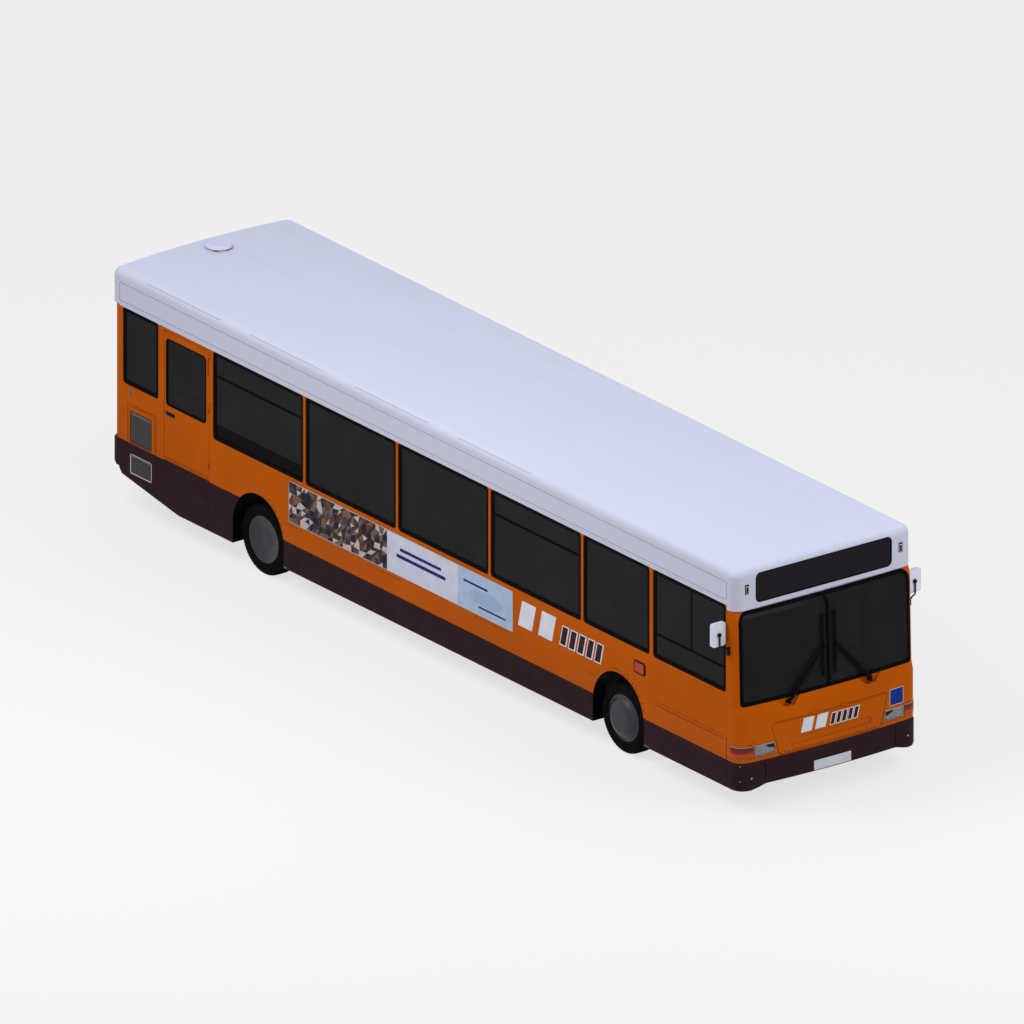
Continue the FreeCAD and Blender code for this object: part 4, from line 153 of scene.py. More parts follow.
class Finish:
    """The shader nodes of one material, fed by value or by socket."""

    def __init__(self, name, base=None, **values):
        self.material = bpy.data.materials.new(name)
        self.material.use_nodes = True
        self.tree = self.material.node_tree
        self.shader = self.tree.nodes["Principled BSDF"]
        self.place = self.add("TexCoord").outputs["Object"]
        if base:
            self.set("Base Color", (*base, 1))
        for key, value in values.items():
            self.set(key.replace("_", " ").title().replace("Ior", "IOR"), value)

    def add(self, kind, settings=None, **inputs):
        node = self.tree.nodes.new("ShaderNode" + kind)
        for key, value in (settings or {}).items():
            setattr(node, key, value)
        for key, value in inputs.items():
            self.feed(node.inputs[key.replace("_", " ")], value)
        return node

    def feed(self, socket, value):
        if isinstance(value, bpy.types.NodeSocket):
            self.tree.links.new(value, socket)
        else:
            socket.default_value = value

    def set(self, name, value):
        self.feed(self.shader.inputs[name], value)

    def math(self, operation, *values):
        node = self.add("Math", {"operation": operation})
        for socket, value in zip(node.inputs, values):
            self.feed(socket, value)
        return node.outputs[0]

    def noise(self, scale, detail, roughness=0.5, stretch=None):
        """Soft noise over the object, scaled along each axis by the stretch."""
        vector = self.place
        if stretch:
            vector = self.add("Mapping", Vector=vector, Scale=stretch).outputs[0]
        return self.add("TexNoise", Vector=vector, Scale=scale, Detail=detail,
                        Roughness=roughness).outputs["Fac"]

    def wave(self, direction, scale):
        return self.add("TexWave", {"wave_type": "BANDS", "bands_direction": direction},
                        Vector=self.place, Scale=scale, Distortion=0.0).outputs["Fac"]

    def cells(self, scale, low, high, to_low=0.0, to_high=1.0):
        """Distance from the middles of scattered cells, between two levels."""
        found = self.add("TexVoronoi", Vector=self.place, Scale=scale)
        return self.ramp(found.outputs["Distance"], low, high, to_low, to_high)

    def ramp(self, value, low, high, to_low=0.0, to_high=1.0):
        return self.add("MapRange", Value=value, From_Min=low, From_Max=high, To_Min=to_low,
                        To_Max=to_high).outputs["Result"]

    def height(self):
        """Height above the ground."""
        return self.add("SeparateXYZ", Vector=self.place).outputs["Z"]

    def blend(self, factor, first, second, mode="MIX"):
        node = self.add("Mix", {"data_type": "RGBA", "blend_type": mode})
        for name, value in (("Factor_Float", factor), ("A_Color", first), ("B_Color", second)):
            socket = next(s for s in node.inputs if s.identifier == name)
            if isinstance(value, tuple) and len(value) == 3:
                value = (*value, 1)
            self.feed(socket, value)
        return next(s for s in node.outputs if s.identifier == "Result_Color")

    def part_blend(self, factor, share, first, second):
        """The second colour over the first, by a share of the factor."""
        return self.blend(self.math("MULTIPLY", factor, share), first, second)

    def roughen(self, scale, detail, low, high):
        """A roughness that wanders between two values."""
        self.set("Roughness", self.ramp(self.noise(scale, detail), 0.3, 0.7, low, high))

    def bump(self, height, strength, distance):
        node = self.add("Bump", Height=height, Strength=strength, Distance=distance)
        self.set("Normal", node.outputs["Normal"])

    def grain(self, scale, detail, strength, distance):
        """A fine relief."""
        self.bump(self.noise(scale, detail), strength, distance)


def chosen(base):
    """A colour of the panel's by its name, or a display colour."""
    if isinstance(base, str):
        return tuple(getattr(bpy.context.scene.bus_colours, base))
    return srgb(*base)


def scaled(base, share):
    return tuple(channel * share for channel in base)


def gloss_paint(name, base, roughness=0.3, film=0.15):
    """Coach paint: a faint mottle, orange peel, and road film that thickens towards the ground."""
    finish = Finish(name, specular_ior_level=0.018)
    dust = chosen("dust")
    mottle = finish.ramp(finish.noise(0.9, 4), 0.35, 0.7)
    tone = finish.blend(mottle, base, scaled(base, 0.86))
    rain = finish.ramp(finish.noise(1, 3, stretch=(9, 9, 0.55)), 0.55, 0.8)
    low = finish.ramp(finish.height(), 0.2, 1.25, 1, 0)
    patch = finish.ramp(finish.noise(5, 5, 0.6), 0.3, 0.75)
    amount = finish.math("MULTIPLY", finish.math("POWER", low, 1.8), patch)
    amount = finish.math("MULTIPLY", amount, film)
    tone = finish.part_blend(rain, film * 0.14, tone, dust)
    finish.set("Base Color", finish.blend(amount, tone, dust))
    rough = finish.ramp(finish.noise(40, 3), 0.3, 0.7, roughness - 0.04, roughness + 0.06)
    finish.set("Roughness", finish.math("ADD", rough, finish.math("MULTIPLY", amount, 0.5)))
    finish.grain(260, 1, 0.05, 0.0006)
    return finish.material


def moulding(name, base):
    """White glass-fibre moulding with painted shade that makes it greyer below its edge: slight
    waves, and dirt in soft patches.
    """
    finish = Finish(name, specular_ior_level=0.2, coat_weight=0.03, coat_roughness=0.3)
    cloud = finish.ramp(finish.noise(0.7, 5, 0.55), 0.35, 0.75)
    run = finish.ramp(finish.noise(1, 4, stretch=(0.8, 7, 7)), 0.5, 0.85)
    speck = finish.ramp(finish.noise(60, 2), 0.62, 0.8)
    amount = finish.math("MULTIPLY", cloud, 0.05)
    for layer, share in ((run, 0.05), (speck, 0.06)):
        amount = finish.math("ADD", amount, finish.math("MULTIPLY", layer, share))
    # Painted shade: the moulding turns greyer below the roof's edge, where it rounds away from the
    # light.
    lower = finish.ramp(finish.height(), 2.68, 2.75, 1, 0)
    tone = finish.blend(lower, base, chosen("roof_painted_shade"))
    finish.set("Base Color", finish.blend(amount, tone, srgb(150, 148, 140)))
    finish.roughen(22, 3, 0.42, 0.56)
    finish.grain(7, 2, 0.12, 0.004)
    return finish.material


def rubber(name, base, roughness=0.62):
    """Extruded rubber with a chalky bloom."""
    finish = Finish(name, specular_ior_level=0.02)
    bloom = finish.ramp(finish.noise(14, 4), 0.45, 0.8)
    pale = tuple(0.02 + channel for channel in base)
    finish.set("Base Color", finish.part_blend(bloom, 0.2, base, pale))
    finish.roughen(90, 2, roughness - 0.1, roughness + 0.1)
    finish.grain(420, 2, 0.15, 0.0006)
    return finish.material


def tinted_glass(name, tint, alpha, roughness=0.04):
    """Dark glass that keeps a faint view of the inside, with a film of dust."""
    finish = Finish(name, specular_ior_level=0.04, alpha=alpha)
    film = finish.ramp(finish.noise(3, 4), 0.4, 0.8)
    dusty = tuple(channel * 1.5 + 0.004 for channel in tint)
    finish.set("Base Color", finish.part_blend(film, 0.5, tint, dusty))
    finish.set("Roughness", finish.ramp(film, 0, 1, roughness, roughness + 0.07))
    finish.grain(1.6, 1, 0.03, 0.004)
    return finish.material


def plastic(name, base, roughness=0.5, grain=600, strength=0.25):
    """Moulded plastic with a fine leather-like grain."""
    finish = Finish(name, specular_ior_level=0.08)
    shade = finish.ramp(finish.noise(6, 3), 0.35, 0.7)
    finish.set("Base Color", finish.blend(shade, base, scaled(base, 0.8)))
    finish.roughen(30, 2, roughness - 0.06, roughness + 0.08)
    finish.grain(grain, 2, strength, 0.0005)
    return finish.material


def painted_steel(name, base, roughness=0.45, film=0.5):
    """Chassis paint with dust in soft random patches and small rust freckles."""
    finish = Finish(name, metallic=0.15)
    dirt = finish.ramp(finish.noise(9, 5, 0.6), 0.4, 0.75)
    tone = finish.part_blend(dirt, film, base, chosen("dust"))
    freckle = finish.ramp(finish.noise(130, 2), 0.72, 0.78)
    finish.set("Base Color", finish.part_blend(freckle, 0.5, tone, srgb(92, 48, 26)))
    finish.set("Roughness", finish.ramp(dirt, 0, 1, roughness, roughness + 0.25))
    finish.grain(180, 2, 0.12, 0.0006)
    return finish.material


def bright_steel(name, base):
    """Burnished wheel steel with clouds of brake dust."""
    finish = Finish(name, metallic=0.7, specular_ior_level=0.3)
    cloud = finish.ramp(finish.noise(5, 4, 0.6), 0.35, 0.8)
    finish.set("Base Color", finish.part_blend(cloud, 0.5, base, srgb(62, 56, 54)))
    finish.roughen(40, 3, 0.30, 0.42)
    finish.grain(160, 2, 0.05, 0.0005)
    return finish.material


def frosted(name, base):
    """Patterned headlamp glass: mottled facets over the bowls behind."""
    finish = Finish(name, roughness=0.18, specular_ior_level=0.1, alpha=0.8)
    facet = finish.cells(70.0, 0.1, 0.6)
    finish.set("Base Color", finish.blend(facet, base, scaled(base, 0.45)))
    finish.bump(facet, 0.4, 0.0015)
    return finish.material


def banded_lens(name, base, *bands):
    """A ribbed lens whose colour changes with height, as (foot of the band, colour) from below."""
    finish = Finish(name, roughness=0.25, specular_ior_level=0.08)
    ribs, height, tone = finish.wave("Z", 60.0), finish.height(), base
    for foot, display in bands:
        tone = finish.blend(finish.math("GREATER_THAN", height, foot), tone, srgb(*display))
    shade = finish.ramp(ribs, 0, 1, 0.72, 1)
    grey = finish.add("CombineXYZ", X=shade, Y=shade, Z=shade).outputs[0]
    finish.set("Base Color", finish.blend(1.0, tone, grey, "MULTIPLY"))
    finish.bump(ribs, 0.3, 0.001)
    return finish.material


def dotted(name, base, dot):
    """A dark display behind glass, with its rows of unlit dots."""
    finish = Finish(name, roughness=0.16, specular_ior_level=0.04)
    parts = finish.add("SeparateXYZ", Vector=finish.place)
    squares = []
    for axis in ("Y", "Z"):
        step = finish.math("FRACT", finish.math("MULTIPLY", parts.outputs[axis], 62.0))
        off = finish.math("ABSOLUTE", finish.math("SUBTRACT", step, 0.5))
        squares.append(finish.math("MULTIPLY", off, off))
    mark = finish.math("LESS_THAN", finish.math("ADD", *squares), 0.09)
    finish.set("Base Color", finish.blend(mark, base, srgb(*dot)))
    finish.grain(2, 1, 0.02, 0.003)
    return finish.material


def silvered(name, base):
    """Mirror glass with a faint film of dust."""
    finish = Finish(name, base, metallic=1.0)
    finish.set("Roughness", finish.ramp(finish.noise(9, 4), 0.4, 0.8, 0.03, 0.14))
    return finish.material


def vinyl(name, base):
    """Printed film: slightly uneven ink and a soft gloss."""
    finish = Finish(name, specular_ior_level=0.06)
    uneven = finish.ramp(finish.noise(8, 4), 0.35, 0.7)
    finish.set("Base Color", finish.blend(uneven, base, scaled(base, 0.88)))
    finish.roughen(50, 2, 0.34, 0.46)
    finish.grain(300, 2, 0.04, 0.0004)
    return finish.material


def moquette(name, base):
    """Woven seat cloth with a small two-tone fleck."""
    finish = Finish(name, sheen_weight=0.4, roughness=0.9)
    fleck = finish.cells(38.0, 0.18, 0.3, 1, 0)
    light = tuple(min(1, channel * 2.6 + 0.05) for channel in base)
    finish.set("Base Color", finish.part_blend(fleck, 0.6, base, light))
    finish.grain(700, 2, 0.5, 0.001)
    return finish.material


# Each finish as its maker, the material's name, its colour and the maker's other values
FINISHES = {
    "paint": (gloss_paint, "body_paint", "body"),
    "skirt": (gloss_paint, "skirt_paint", "skirt", 0.38, 0.06),
    "roof": (moulding, "roof_moulding", "roof"),
    "rubber": (rubber, "window_rubber", "rubber"),
    "glass": (tinted_glass, "tinted_glass", "window", 0.86),
    "screen": (tinted_glass, "screen_glass", "window", 0.80),
    "black": (plastic, "black_plastic", (10, 10, 11)),
    "seam": (rubber, "seam_sealant", (46, 24, 10), 0.8),
    "roof_seam": (rubber, "roof_seam_sealant", (62, 70, 92), 0.8),
    "tyre": (rubber, "tyre_rubber", "tyre", 0.78),
    "wheel": (bright_steel, "wheel_steel", "wheel"),
    "nut": (painted_steel, "nut_steel", (96, 96, 96), 0.4, 0.3),
    "chassis": (painted_steel, "chassis_paint", "chassis", 0.55, 0.35),
    "casting": (painted_steel, "bare_casting", (70, 68, 66), 0.6, 0.5),
    "grille": (painted_steel, "grille_mesh", "grille", 0.5, 0.25),
    "cloth": (moquette, "seat_cloth", "seat"),
    "pole": (painted_steel, "pole_coating", "pole", 0.3, 0.1),
    "floor": (plastic, "floor_covering", "floor", 0.6, 240, 0.5),
    "white": (plastic, "white_plastic", (222, 225, 238), 0.32, 300, 0.05),
    "display": (dotted, "display_glass", (25, 24, 28), (36, 34, 38)),
    "skirt_seam": (rubber, "skirt_seam", (22, 14, 17), 0.8),
    "drip_seam": (rubber, "drip_seam", (104, 92, 104), 0.8),
    "screw": (painted_steel, "screw_paint", (34, 16, 4), 0.5, 0.02),
    "bright": (painted_steel, "bright_rivet", (178, 174, 172), 0.3, 0.1),
    "band": (rubber, "window_band", (9, 9, 10), 0.4),
    "bead": (rubber, "rubber_insert", (14, 14, 15), 0.35),
    "flash_white": (vinyl, "white_vinyl", (214, 215, 226)),
    "flash_dark": (vinyl, "dark_vinyl", (44, 24, 28)),
    "sign": (vinyl, "blue_vinyl", "sign"),
    "sign_edge": (vinyl, "sign_border", (206, 210, 222)),
    "plate_white": (vinyl, "plate_white", (204, 205, 214)),
    "plate_yellow": (vinyl, "plate_yellow", (226, 172, 30)),
    "poster_pale": (vinyl, "poster_field", (198, 200, 216)),
    "poster_light": (vinyl, "poster_light", (166, 184, 208)),
    "poster_oval": (vinyl, "poster_oval", (150, 172, 200)),
    "poster_ink": (vinyl, "poster_ink", (26, 34, 108)),
    "lamp_glass": (frosted, "headlamp_glass", (176, 178, 186)),
    "lamp_back": (plastic, "lamp_back", (120, 122, 126), 0.3),
    "lamp_edge": (plastic, "lamp_edge", (214, 184, 180), 0.3, 200, 0.05),
    # A dark film that paints the shade in the headlamps' upper corners.
    "lamp_shade": (plastic, "lamp_shade", (26, 24, 26), 0.3),
    "bulb": (painted_steel, "bulb", (224, 224, 218), 0.15, 0.05),
    "corner_lens": (banded_lens, "corner_lens", (132, 104, 112),
                    (0.628, (176, 70, 22)), (0.643, (196, 80, 26)), (0.662, (162, 62, 24)),
                    (0.680, (132, 50, 28)), (0.698, (112, 48, 36)), (0.716, (92, 50, 42)),
                    (0.7395, (176, 152, 160)), (0.80, (184, 72, 40))),
    "tail_lens": (banded_lens, "tail_lens", (150, 12, 12),
                  (1.071, (196, 190, 186)), (1.223, (214, 104, 20)), (1.375, (158, 12, 12))),
    "mirror": (silvered, "mirror_glass", (225, 228, 232)),
    "release_red": (plastic, "release_red", (150, 16, 12), 0.4),
    "seat_shell": (plastic, "seat_shell", (64, 66, 72), 0.5),
}
POSTER_TINTS = ((30, 26, 34), (62, 46, 44), (116, 88, 74), (44, 46, 62), (184, 172, 166),
                (88, 58, 50), (96, 88, 92))
FINISHES.update({f"poster_{count}": (vinyl, f"poster_tint_{count}", tint)
                 for count, tint in enumerate(POSTER_TINTS)})

# The CAD nodes by their finish; the mirrors get two
NODE_FINISHES = {
    "paint": ("left_side_wall", "right_side_wall", "front_panel", "front_flap", "rear_panel",
              "engine_cover", "emergency_door"),
    "skirt": ("skirts", "front_bumper", "rear_bumper"),
    "roof": ("roof", "front_dome", "roof_vent"),
    "rubber": ("side_window_rubbers", "windscreen_rubber", "rear_window_rubber", "air_springs"),
    "glass": ("side_window_glass", "rear_window_glass", "emergency_door_glass"),
    "screen": ("windscreen_glass", "front_entrance_leaf_glass", "rear_entrance_leaf_glass"),
    "black": ("front_entrance_leaf", "rear_entrance_leaf", "cab_desk", "cab_partition",
              "steering_wheel"),
    "band": ("wipers",),
    "tyre": ("front_tyre_left", "front_tyre_right", "rear_tyres_left", "rear_tyres_right"),
    "wheel": ("front_rim_left", "front_rim_right", "rear_rims_left", "rear_rims_right"),
    "chassis": ("underframe", "cross_members", "wheel_boxes"),
    "casting": ("engine", "front_axle", "rear_axle", "knuckle_left", "knuckle_right"),
    "grille": ("radiator_grilles",),
    "corner_lens": ("amber_lamps",),
    "tail_lens": ("rear_lamps",),
    "lamp_glass": ("headlamps",),
    "cloth": ("seats",),
    "pole": ("grab_poles",),
    "floor": ("floor",),
    "display": ("destination_display",),
}
MATERIALS = {}


def dress(node, *finishes):
    """Gives a CAD node its finishes."""
    slots = NODES[node].data.materials
    slots.clear()
    for finish in finishes:
        slots.append(MATERIALS[finish])


# Outlines and places

def corners(x0, x1, z0, z1):
    """The four corners of a rectangle, in order round it."""
    return [(x0, z0), (x1, z0), (x1, z1), (x0, z1)]


def rounded(x0, x1, z0, z1, radius, steps=6):
    """Points round a rectangle with rounded corners."""
    points = []
    for x, z, start in ((x1 - radius, z0 + radius, -90), (x1 - radius, z1 - radius, 0),
                        (x0 + radius, z1 - radius, 90), (x0 + radius, z0 + radius, 180)):
        for step in range(steps + 1):
            turn = math.radians(start + 90 * step / steps)
            points.append((x + radius * math.cos(turn), z + radius * math.sin(turn)))
    return points


def row(start, pitch, count, height):
    """Evenly spaced places at one height."""
    return [(start + pitch * at, height) for at in range(count)]


def spot(axis, depth, a, b):
    """A point at a depth along X or Y, a along the other of the two and b above the ground."""
    return Vector((depth, a, b) if axis == "X" else (a, depth, b))


def middle(node):
    """The middle of a CAD node."""
    low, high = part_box(node)
    return Vector((a + b) / 2 for a, b in zip(low, high))


def islands(node):
    """The box of each separate solid of a CAD node, as (low corner, high corner), from the rear."""
    work = bmesh.new()
    work.from_mesh(NODES[node].data)
    bmesh.ops.remove_doubles(work, verts=work.verts, dist=1e-5)
    boxes, seen = [], set()
    for start in work.verts:
        if start.index in seen:
            continue
        seen.add(start.index)
        queue, points = [start], []
        while queue:
            vertex = queue.pop()
            points.append(vertex.co.copy())
            for edge in vertex.link_edges:
                other = edge.other_vert(vertex)
                if other.index not in seen:
                    seen.add(other.index)
                    queue.append(other)
        boxes.append(tuple(Vector(pick(point[axis] for point in points) for axis in range(3))
                           for pick in (min, max)))
    work.free()
    return sorted(boxes, key=lambda found: tuple(found[0]))


def on_side(boxes, sign):
    return [(low, high) for low, high in boxes if (low.y + high.y) * sign > 0]


def placed(name, data):
    """A new object in the scene."""
    made = bpy.data.objects.new(name, data)
    bpy.context.scene.collection.objects.link(made)
    return made


# Mesh making

class Shape:
    """A mesh being gathered from simple forms, each with its own finish."""

    def __init__(self):
        self.vertices, self.faces, self.marks, self.finishes = [], [], [], []

    def add(self, vertices, faces, finish):
        if finish not in self.finishes:
            self.finishes.append(finish)
        first = len(self.vertices)
        self.vertices += [tuple(v) for v in vertices]
        self.faces += [[first + at for at in face] for face in faces]
        self.marks += [self.finishes.index(finish)] * len(faces)

    def rings(self, rings, finish, closed=False):
        """Skin over rings of equally many points, with caps unless they close in a loop."""
        count = len(rings[0])
        points = [point for ring in rings for point in ring]
        faces = []
        for at in range(len(rings) if closed else len(rings) - 1):
            low, high = at * count, (at + 1) % len(rings) * count
            for side in range(count):
                nxt = (side + 1) % count
                faces.append((low + side, low + nxt, high + nxt, high + side))
        if not closed:
            faces.append(tuple(reversed(range(count))))
            faces.append(tuple(range(len(points) - count, len(points))))
        self.add(points, faces, finish)

    def box(self, low, high, finish):
        outline = corners(low[0], high[0], low[1], high[1])
        self.rings([[(x, y, z) for x, y in outline] for z in (low[2], high[2])], finish)

    def slab(self, axis, depths, outline, finish):
        """A flat form between two planes square to X or Y."""
        self.rings([[spot(axis, depth, a, b) for a, b in outline] for depth in depths], finish)

    def surround(self, axis, box, steps, finish, round_steps):
        """A round-cornered frame, from (how far it grows, depth, corner radius) for each edge."""
        a0, a1, b0, b1 = box
        self.rings([[spot(axis, depth, a, b) for a, b in
                     rounded(a0 - grow, a1 + grow, b0 - grow, b1 + grow, radius, round_steps)]
                    for grow, depth, radius in steps], finish, closed=True)

    def lathe(self, profile, centre, axis, finish, steps):
        """A closed profile of (along the axis, radius) turned about it."""
        turn = Vector((0, 0, 1)).rotation_difference(Vector(axis).normalized()).to_matrix()
        rings = []
        for step in range(steps):
            way = math.tau * step / steps
            around = Vector((math.cos(way), math.sin(way), 0))
            rings.append([Vector(centre) + turn @ (around * radius + Vector((0, 0, along)))
                          for along, radius in profile])
        self.rings(rings, finish, closed=True)

    def turned(self, profile, centre, axis, finish, steps):
        """A solid turned about its axis, from the edge of its foot to the edge of its top."""
        ends = [(profile[at][0], CORE) for at in (0, -1)]
        self.lathe([ends[0], *profile, ends[1]], centre, axis, finish, steps)

    def screw(self, place, outward, radius, finish, steps=8):
        """A low domed screw head on a panel."""
        self.lathe([(-0.001, 0.0004), (-0.001, radius), (0.0006, radius), (0.0016, radius * 0.6),
                    (0.002, 0.0004)], place, outward, finish, steps)

    def piece(self, name, body, slot, bevel=0.0, smooth=35):
        """The finished object, riding on its body."""
        mesh = bpy.data.meshes.new(name)
        mesh.from_pydata(self.vertices, [], self.faces)
        for finish in self.finishes:
            mesh.materials.append(MATERIALS[finish])
        mesh.polygons.foreach_set("material_index", self.marks)
        work = bmesh.new()
        work.from_mesh(mesh)
        bmesh.ops.recalc_face_normals(work, faces=work.faces)
        work.to_mesh(mesh)
        work.free()
        mesh.shade_smooth()
        mesh.set_sharp_from_angle(angle=math.radians(smooth))
        made = placed(name, mesh)
        if bevel:
            rounding = made.modifiers.new("rounded_edges", "BEVEL")
            rounding.width = bevel
            rounding.segments = 2
            rounding.limit_method = "ANGLE"
            rounding.angle_limit = math.radians(35)
        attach(made, body)
        return made


class Skin:
    """The outside of some CAD nodes as met by a straight look from one side."""

    # The axis of the look, its direction along it, and where it starts
    LOOKS = {"right": ("Y", 1, -4), "left": ("Y", -1, 4), "front": ("X", -1, 8),
             "rear": ("X", 1, -8)}

    def __init__(self, look, *nodes):
        self.axis, way, self.start = self.LOOKS[look]
        self.direction = spot(self.axis, way, 0, 0)
        graph = bpy.context.evaluated_depsgraph_get()
        self.trees = [BVHTree.FromObject(NODES[node], graph) for node in nodes]

    def hit(self, a, b):
        """The first point met, and the skin's outward direction there."""
        start = spot(self.axis, self.start, a, b)
        hits = [tree.ray_cast(start, self.direction) for tree in self.trees]
        hits = [hit for hit in hits if hit[0] is not None]
        if not hits:
            raise ValueError(f"nothing is met at {a:.3f}, {b:.3f}")
        point, normal, _, _ = min(hits, key=lambda hit: hit[3])
        return point, -normal if normal.dot(self.direction) > 0 else normal

    def meet(self, a, b):
        return self.hit(a, b)[0]

    def lifted(self, a, b, lift):
        return self.meet(a, b) - self.direction * lift

    def line(self, shape, points, width, finish, lift=0.0008, step=0.12):
        """A flat strip along a route of (a, b) points, laid on the skin."""
        dense = []
        for start, end in zip(points, points[1:]):
            start, end = Vector(start), Vector(end)
            count = max(1, math.ceil((end - start).length / step))
            dense += [start.lerp(end, at / count) for at in range(count)]
        dense.append(Vector(points[-1]))
        rings = []
        for at, point in enumerate(dense):
            before, after = dense[max(at - 1, 0)], dense[min(at + 1, len(dense) - 1)]
            along = (after - before).normalized()
            across = Vector((-along.y, along.x)) * width / 2
            left, right = point + across, point - across
            rings.append([self.lifted(*left, lift), self.lifted(*right, lift),
                          self.lifted(*right, -SUNK), self.lifted(*left, -SUNK)])
        shape.rings(rings, finish)

    def dashes(self, shape, start, end, width, finish, dash=0.028, gap=0.022):
        """A broken line between two points."""
        start, run = Vector(start), Vector(end) - Vector(start)
        way = run.normalized()
        for at in range(int((run.length + gap) / (dash + gap))):
            first = start + way * at * (dash + gap)
            self.line(shape, [first, first + way * dash], width, finish)

    def film(self, shape, outline, finish, lift):
        """A flat film of any outline on a level panel."""
        shape.rings([[self.lifted(a, b, rise) for a, b in outline] for rise in (-SUNK, lift)],
                    finish)

    def patch(self, shape, outline, finish, lift, columns):
        """A four-cornered film laid on the skin in columns, its corners in order round it."""
        first, second, third, fourth = (Vector(corner) for corner in outline)
        grid = [start.lerp(end, at / columns) for start, end in ((first, second), (fourth, third))
                for at in range(columns + 1)]
        wide, whole = columns + 1, 2 * (columns + 1)
        faces = []
        for at in range(columns):
            quad = (at, at + 1, at + wide + 1, at + wide)
            faces += [quad, tuple(whole + corner for corner in reversed(quad))]
        edge = list(range(wide)) + list(range(whole - 1, columns, -1))
        for at, nxt in zip(edge, edge[1:] + edge[:1]):
            faces.append((at, nxt, nxt + whole, at + whole))
        shape.add([self.lifted(*point, rise) for rise in (lift, -SUNK) for point in grid], faces,
                  finish)

    def screws(self, shape, spots, radius, finish, leaning=False):
        """Screw heads on the skin, square to the look or leaning as the skin does."""
        for a, b in spots:
            point, normal = self.hit(a, b)
            shape.screw(point, normal if leaning else -self.direction, radius, finish)


SKIN_NODES = {
    "right": ("right_side_wall", "skirts", "roof", "front_panel", "rear_panel", "emergency_door",
              "front_bumper", "rear_bumper"),
    "left": ("left_side_wall", "skirts", "roof", "front_panel", "rear_panel", "front_bumper",
             "rear_bumper"),
    "front": ("front_panel", "front_flap", "front_bumper", "front_dome"),
    "rear": ("rear_panel", "engine_cover", "rear_bumper", "roof"),
}


def skin_of(look):
    return Skin(look, *SKIN_NODES[look])


# Stage and finishes

class BUS_OT_stage(Operator):
    """Pale floor, soft lamps and a level parallel view from above the right front corner"""
    bl_idname = "citybus.stage"
    bl_label = "Stage"

    def execute(self, context):
        scene, stage = context.scene, context.scene.bus_stage
        scene.view_settings.view_transform = "Standard"
        half = 60.0
        mesh = bpy.data.meshes.new("stage_floor")
        mesh.from_pydata([(*corner, 0) for corner in corners(-half, half, -half, half)], [],
                         [range(4)])
        mesh.materials.append(self.floor_finish(tuple(stage.floor), stage.floor_shade))
        placed("stage_floor", mesh)
        self.sky(scene, stage.sky)
        self.camera(scene, stage)
        self.lamp("key_lamp", (0, -9.5, 13), 9, stage.key)
        self.lamp("fill_lamp", (13, 3, 8), 7, stage.fill)
        return DONE

    def seen(self, tree):
        """1 where the camera, a reflection or a look through glass meets the surroundings."""
        path = tree.nodes.new("ShaderNodeLightPath")
        total = path.outputs["Is Camera Ray"]
        for ray in ("Is Glossy Ray", "Is Transmission Ray"):
            either = tree.nodes.new("ShaderNodeMath")
            either.operation = "MAXIMUM"
            tree.links.new(total, either.inputs[0])
            tree.links.new(path.outputs[ray], either.inputs[1])
            total = either.outputs[0]
        return total

    def mix(self, tree, amount, first, second, output):
        """Two shaders mixed into the tree's output."""
        mixed = tree.nodes.new("ShaderNodeMixShader")
        for socket, source in zip(mixed.inputs, (amount, first.outputs[0], second.outputs[0])):
            tree.links.new(source, socket)
        tree.links.new(mixed.outputs[0], tree.nodes[output].inputs["Surface"])

    def floor_finish(self, base, shade):
        """A white floor that darkens softly in the bus's shadow."""
        finish = Finish("stage_floor", base, roughness=0.85, specular_ior_level=0.1)
        glow = finish.add("Emission", Color=(1, 1, 1, 1), Strength=1.0)
        amount = finish.math("MULTIPLY", self.seen(finish.tree), 1 - shade)
        self.mix(finish.tree, amount, finish.shader, glow, "Material Output")
        return finish.material

    def sky(self, scene, strength):
        """An even pale blue sky as light, and plain white where it is seen."""
        scene.world = bpy.data.worlds.new("studio")
        scene.world.use_nodes = True
        tree = scene.world.node_tree
        light, white = tree.nodes["Background"], tree.nodes.new("ShaderNodeBackground")
        light.inputs["Color"].default_value = (0.93, 0.96, 1.0, 1)
        light.inputs["Strength"].default_value = strength
        white.inputs["Color"].default_value = (1, 1, 1, 1)
        self.mix(tree, self.seen(tree), light, white, "World Output")

    def camera(self, scene, stage):
        level = math.cos(stage.elevation)
        back = Vector((math.sin(stage.azimuth) * level, -math.cos(stage.azimuth) * level,
                       math.sin(stage.elevation)))
        data = bpy.data.cameras.new("view")
        data.type = "ORTHO"
        data.ortho_scale = stage.frame_width
        data.clip_end = 200
        scene.camera = placed("view", data)
        scene.camera.location = Vector((stage.aim_x, 0, stage.aim_z)) + back * 40
        scene.camera.rotation_euler = back.to_track_quat("Z", "Y").to_euler()

    def lamp(self, name, place, size, power):
        """A round lamp that faces the middle of the bus, a metre up."""
        data = bpy.data.lights.new(name, "AREA")
        data.shape = "DISK"
        data.size = size
        data.energy = power
        lamp = placed(name, data)
        lamp.location = place
        away = Vector(place) - Vector((0, 0, 1))
        lamp.rotation_euler = away.to_track_quat("Z", "Y").to_euler()


class BUS_OT_finishes(Operator):
    """Paint, rubber, glass and metal on every solid of the bus"""
    bl_idname = "citybus.finishes"
    bl_label = "Finishes"

    def execute(self, context):
        for key, (make, name, base, *rest) in FINISHES.items():
            MATERIALS[key] = make(name, chosen(base), *rest)
        for finish, nodes in NODE_FINISHES.items():
            for node in nodes:
                dress(node, finish)
        self.mirrors()
        return DONE

    def mirrors(self):
        """White heads on black balls, arms and brackets."""
        dress("mirrors", "black", "white")
        head_front, head_foot, head_inner = 5.4185, 1.900, 1.2215
        for polygon in NODES["mirrors"].data.polygons:
            at = polygon.center
            head = at.x < head_front and at.z > head_foot and abs(at.y) > head_inner
            polygon.material_index = 1 if head else 0


# Livery

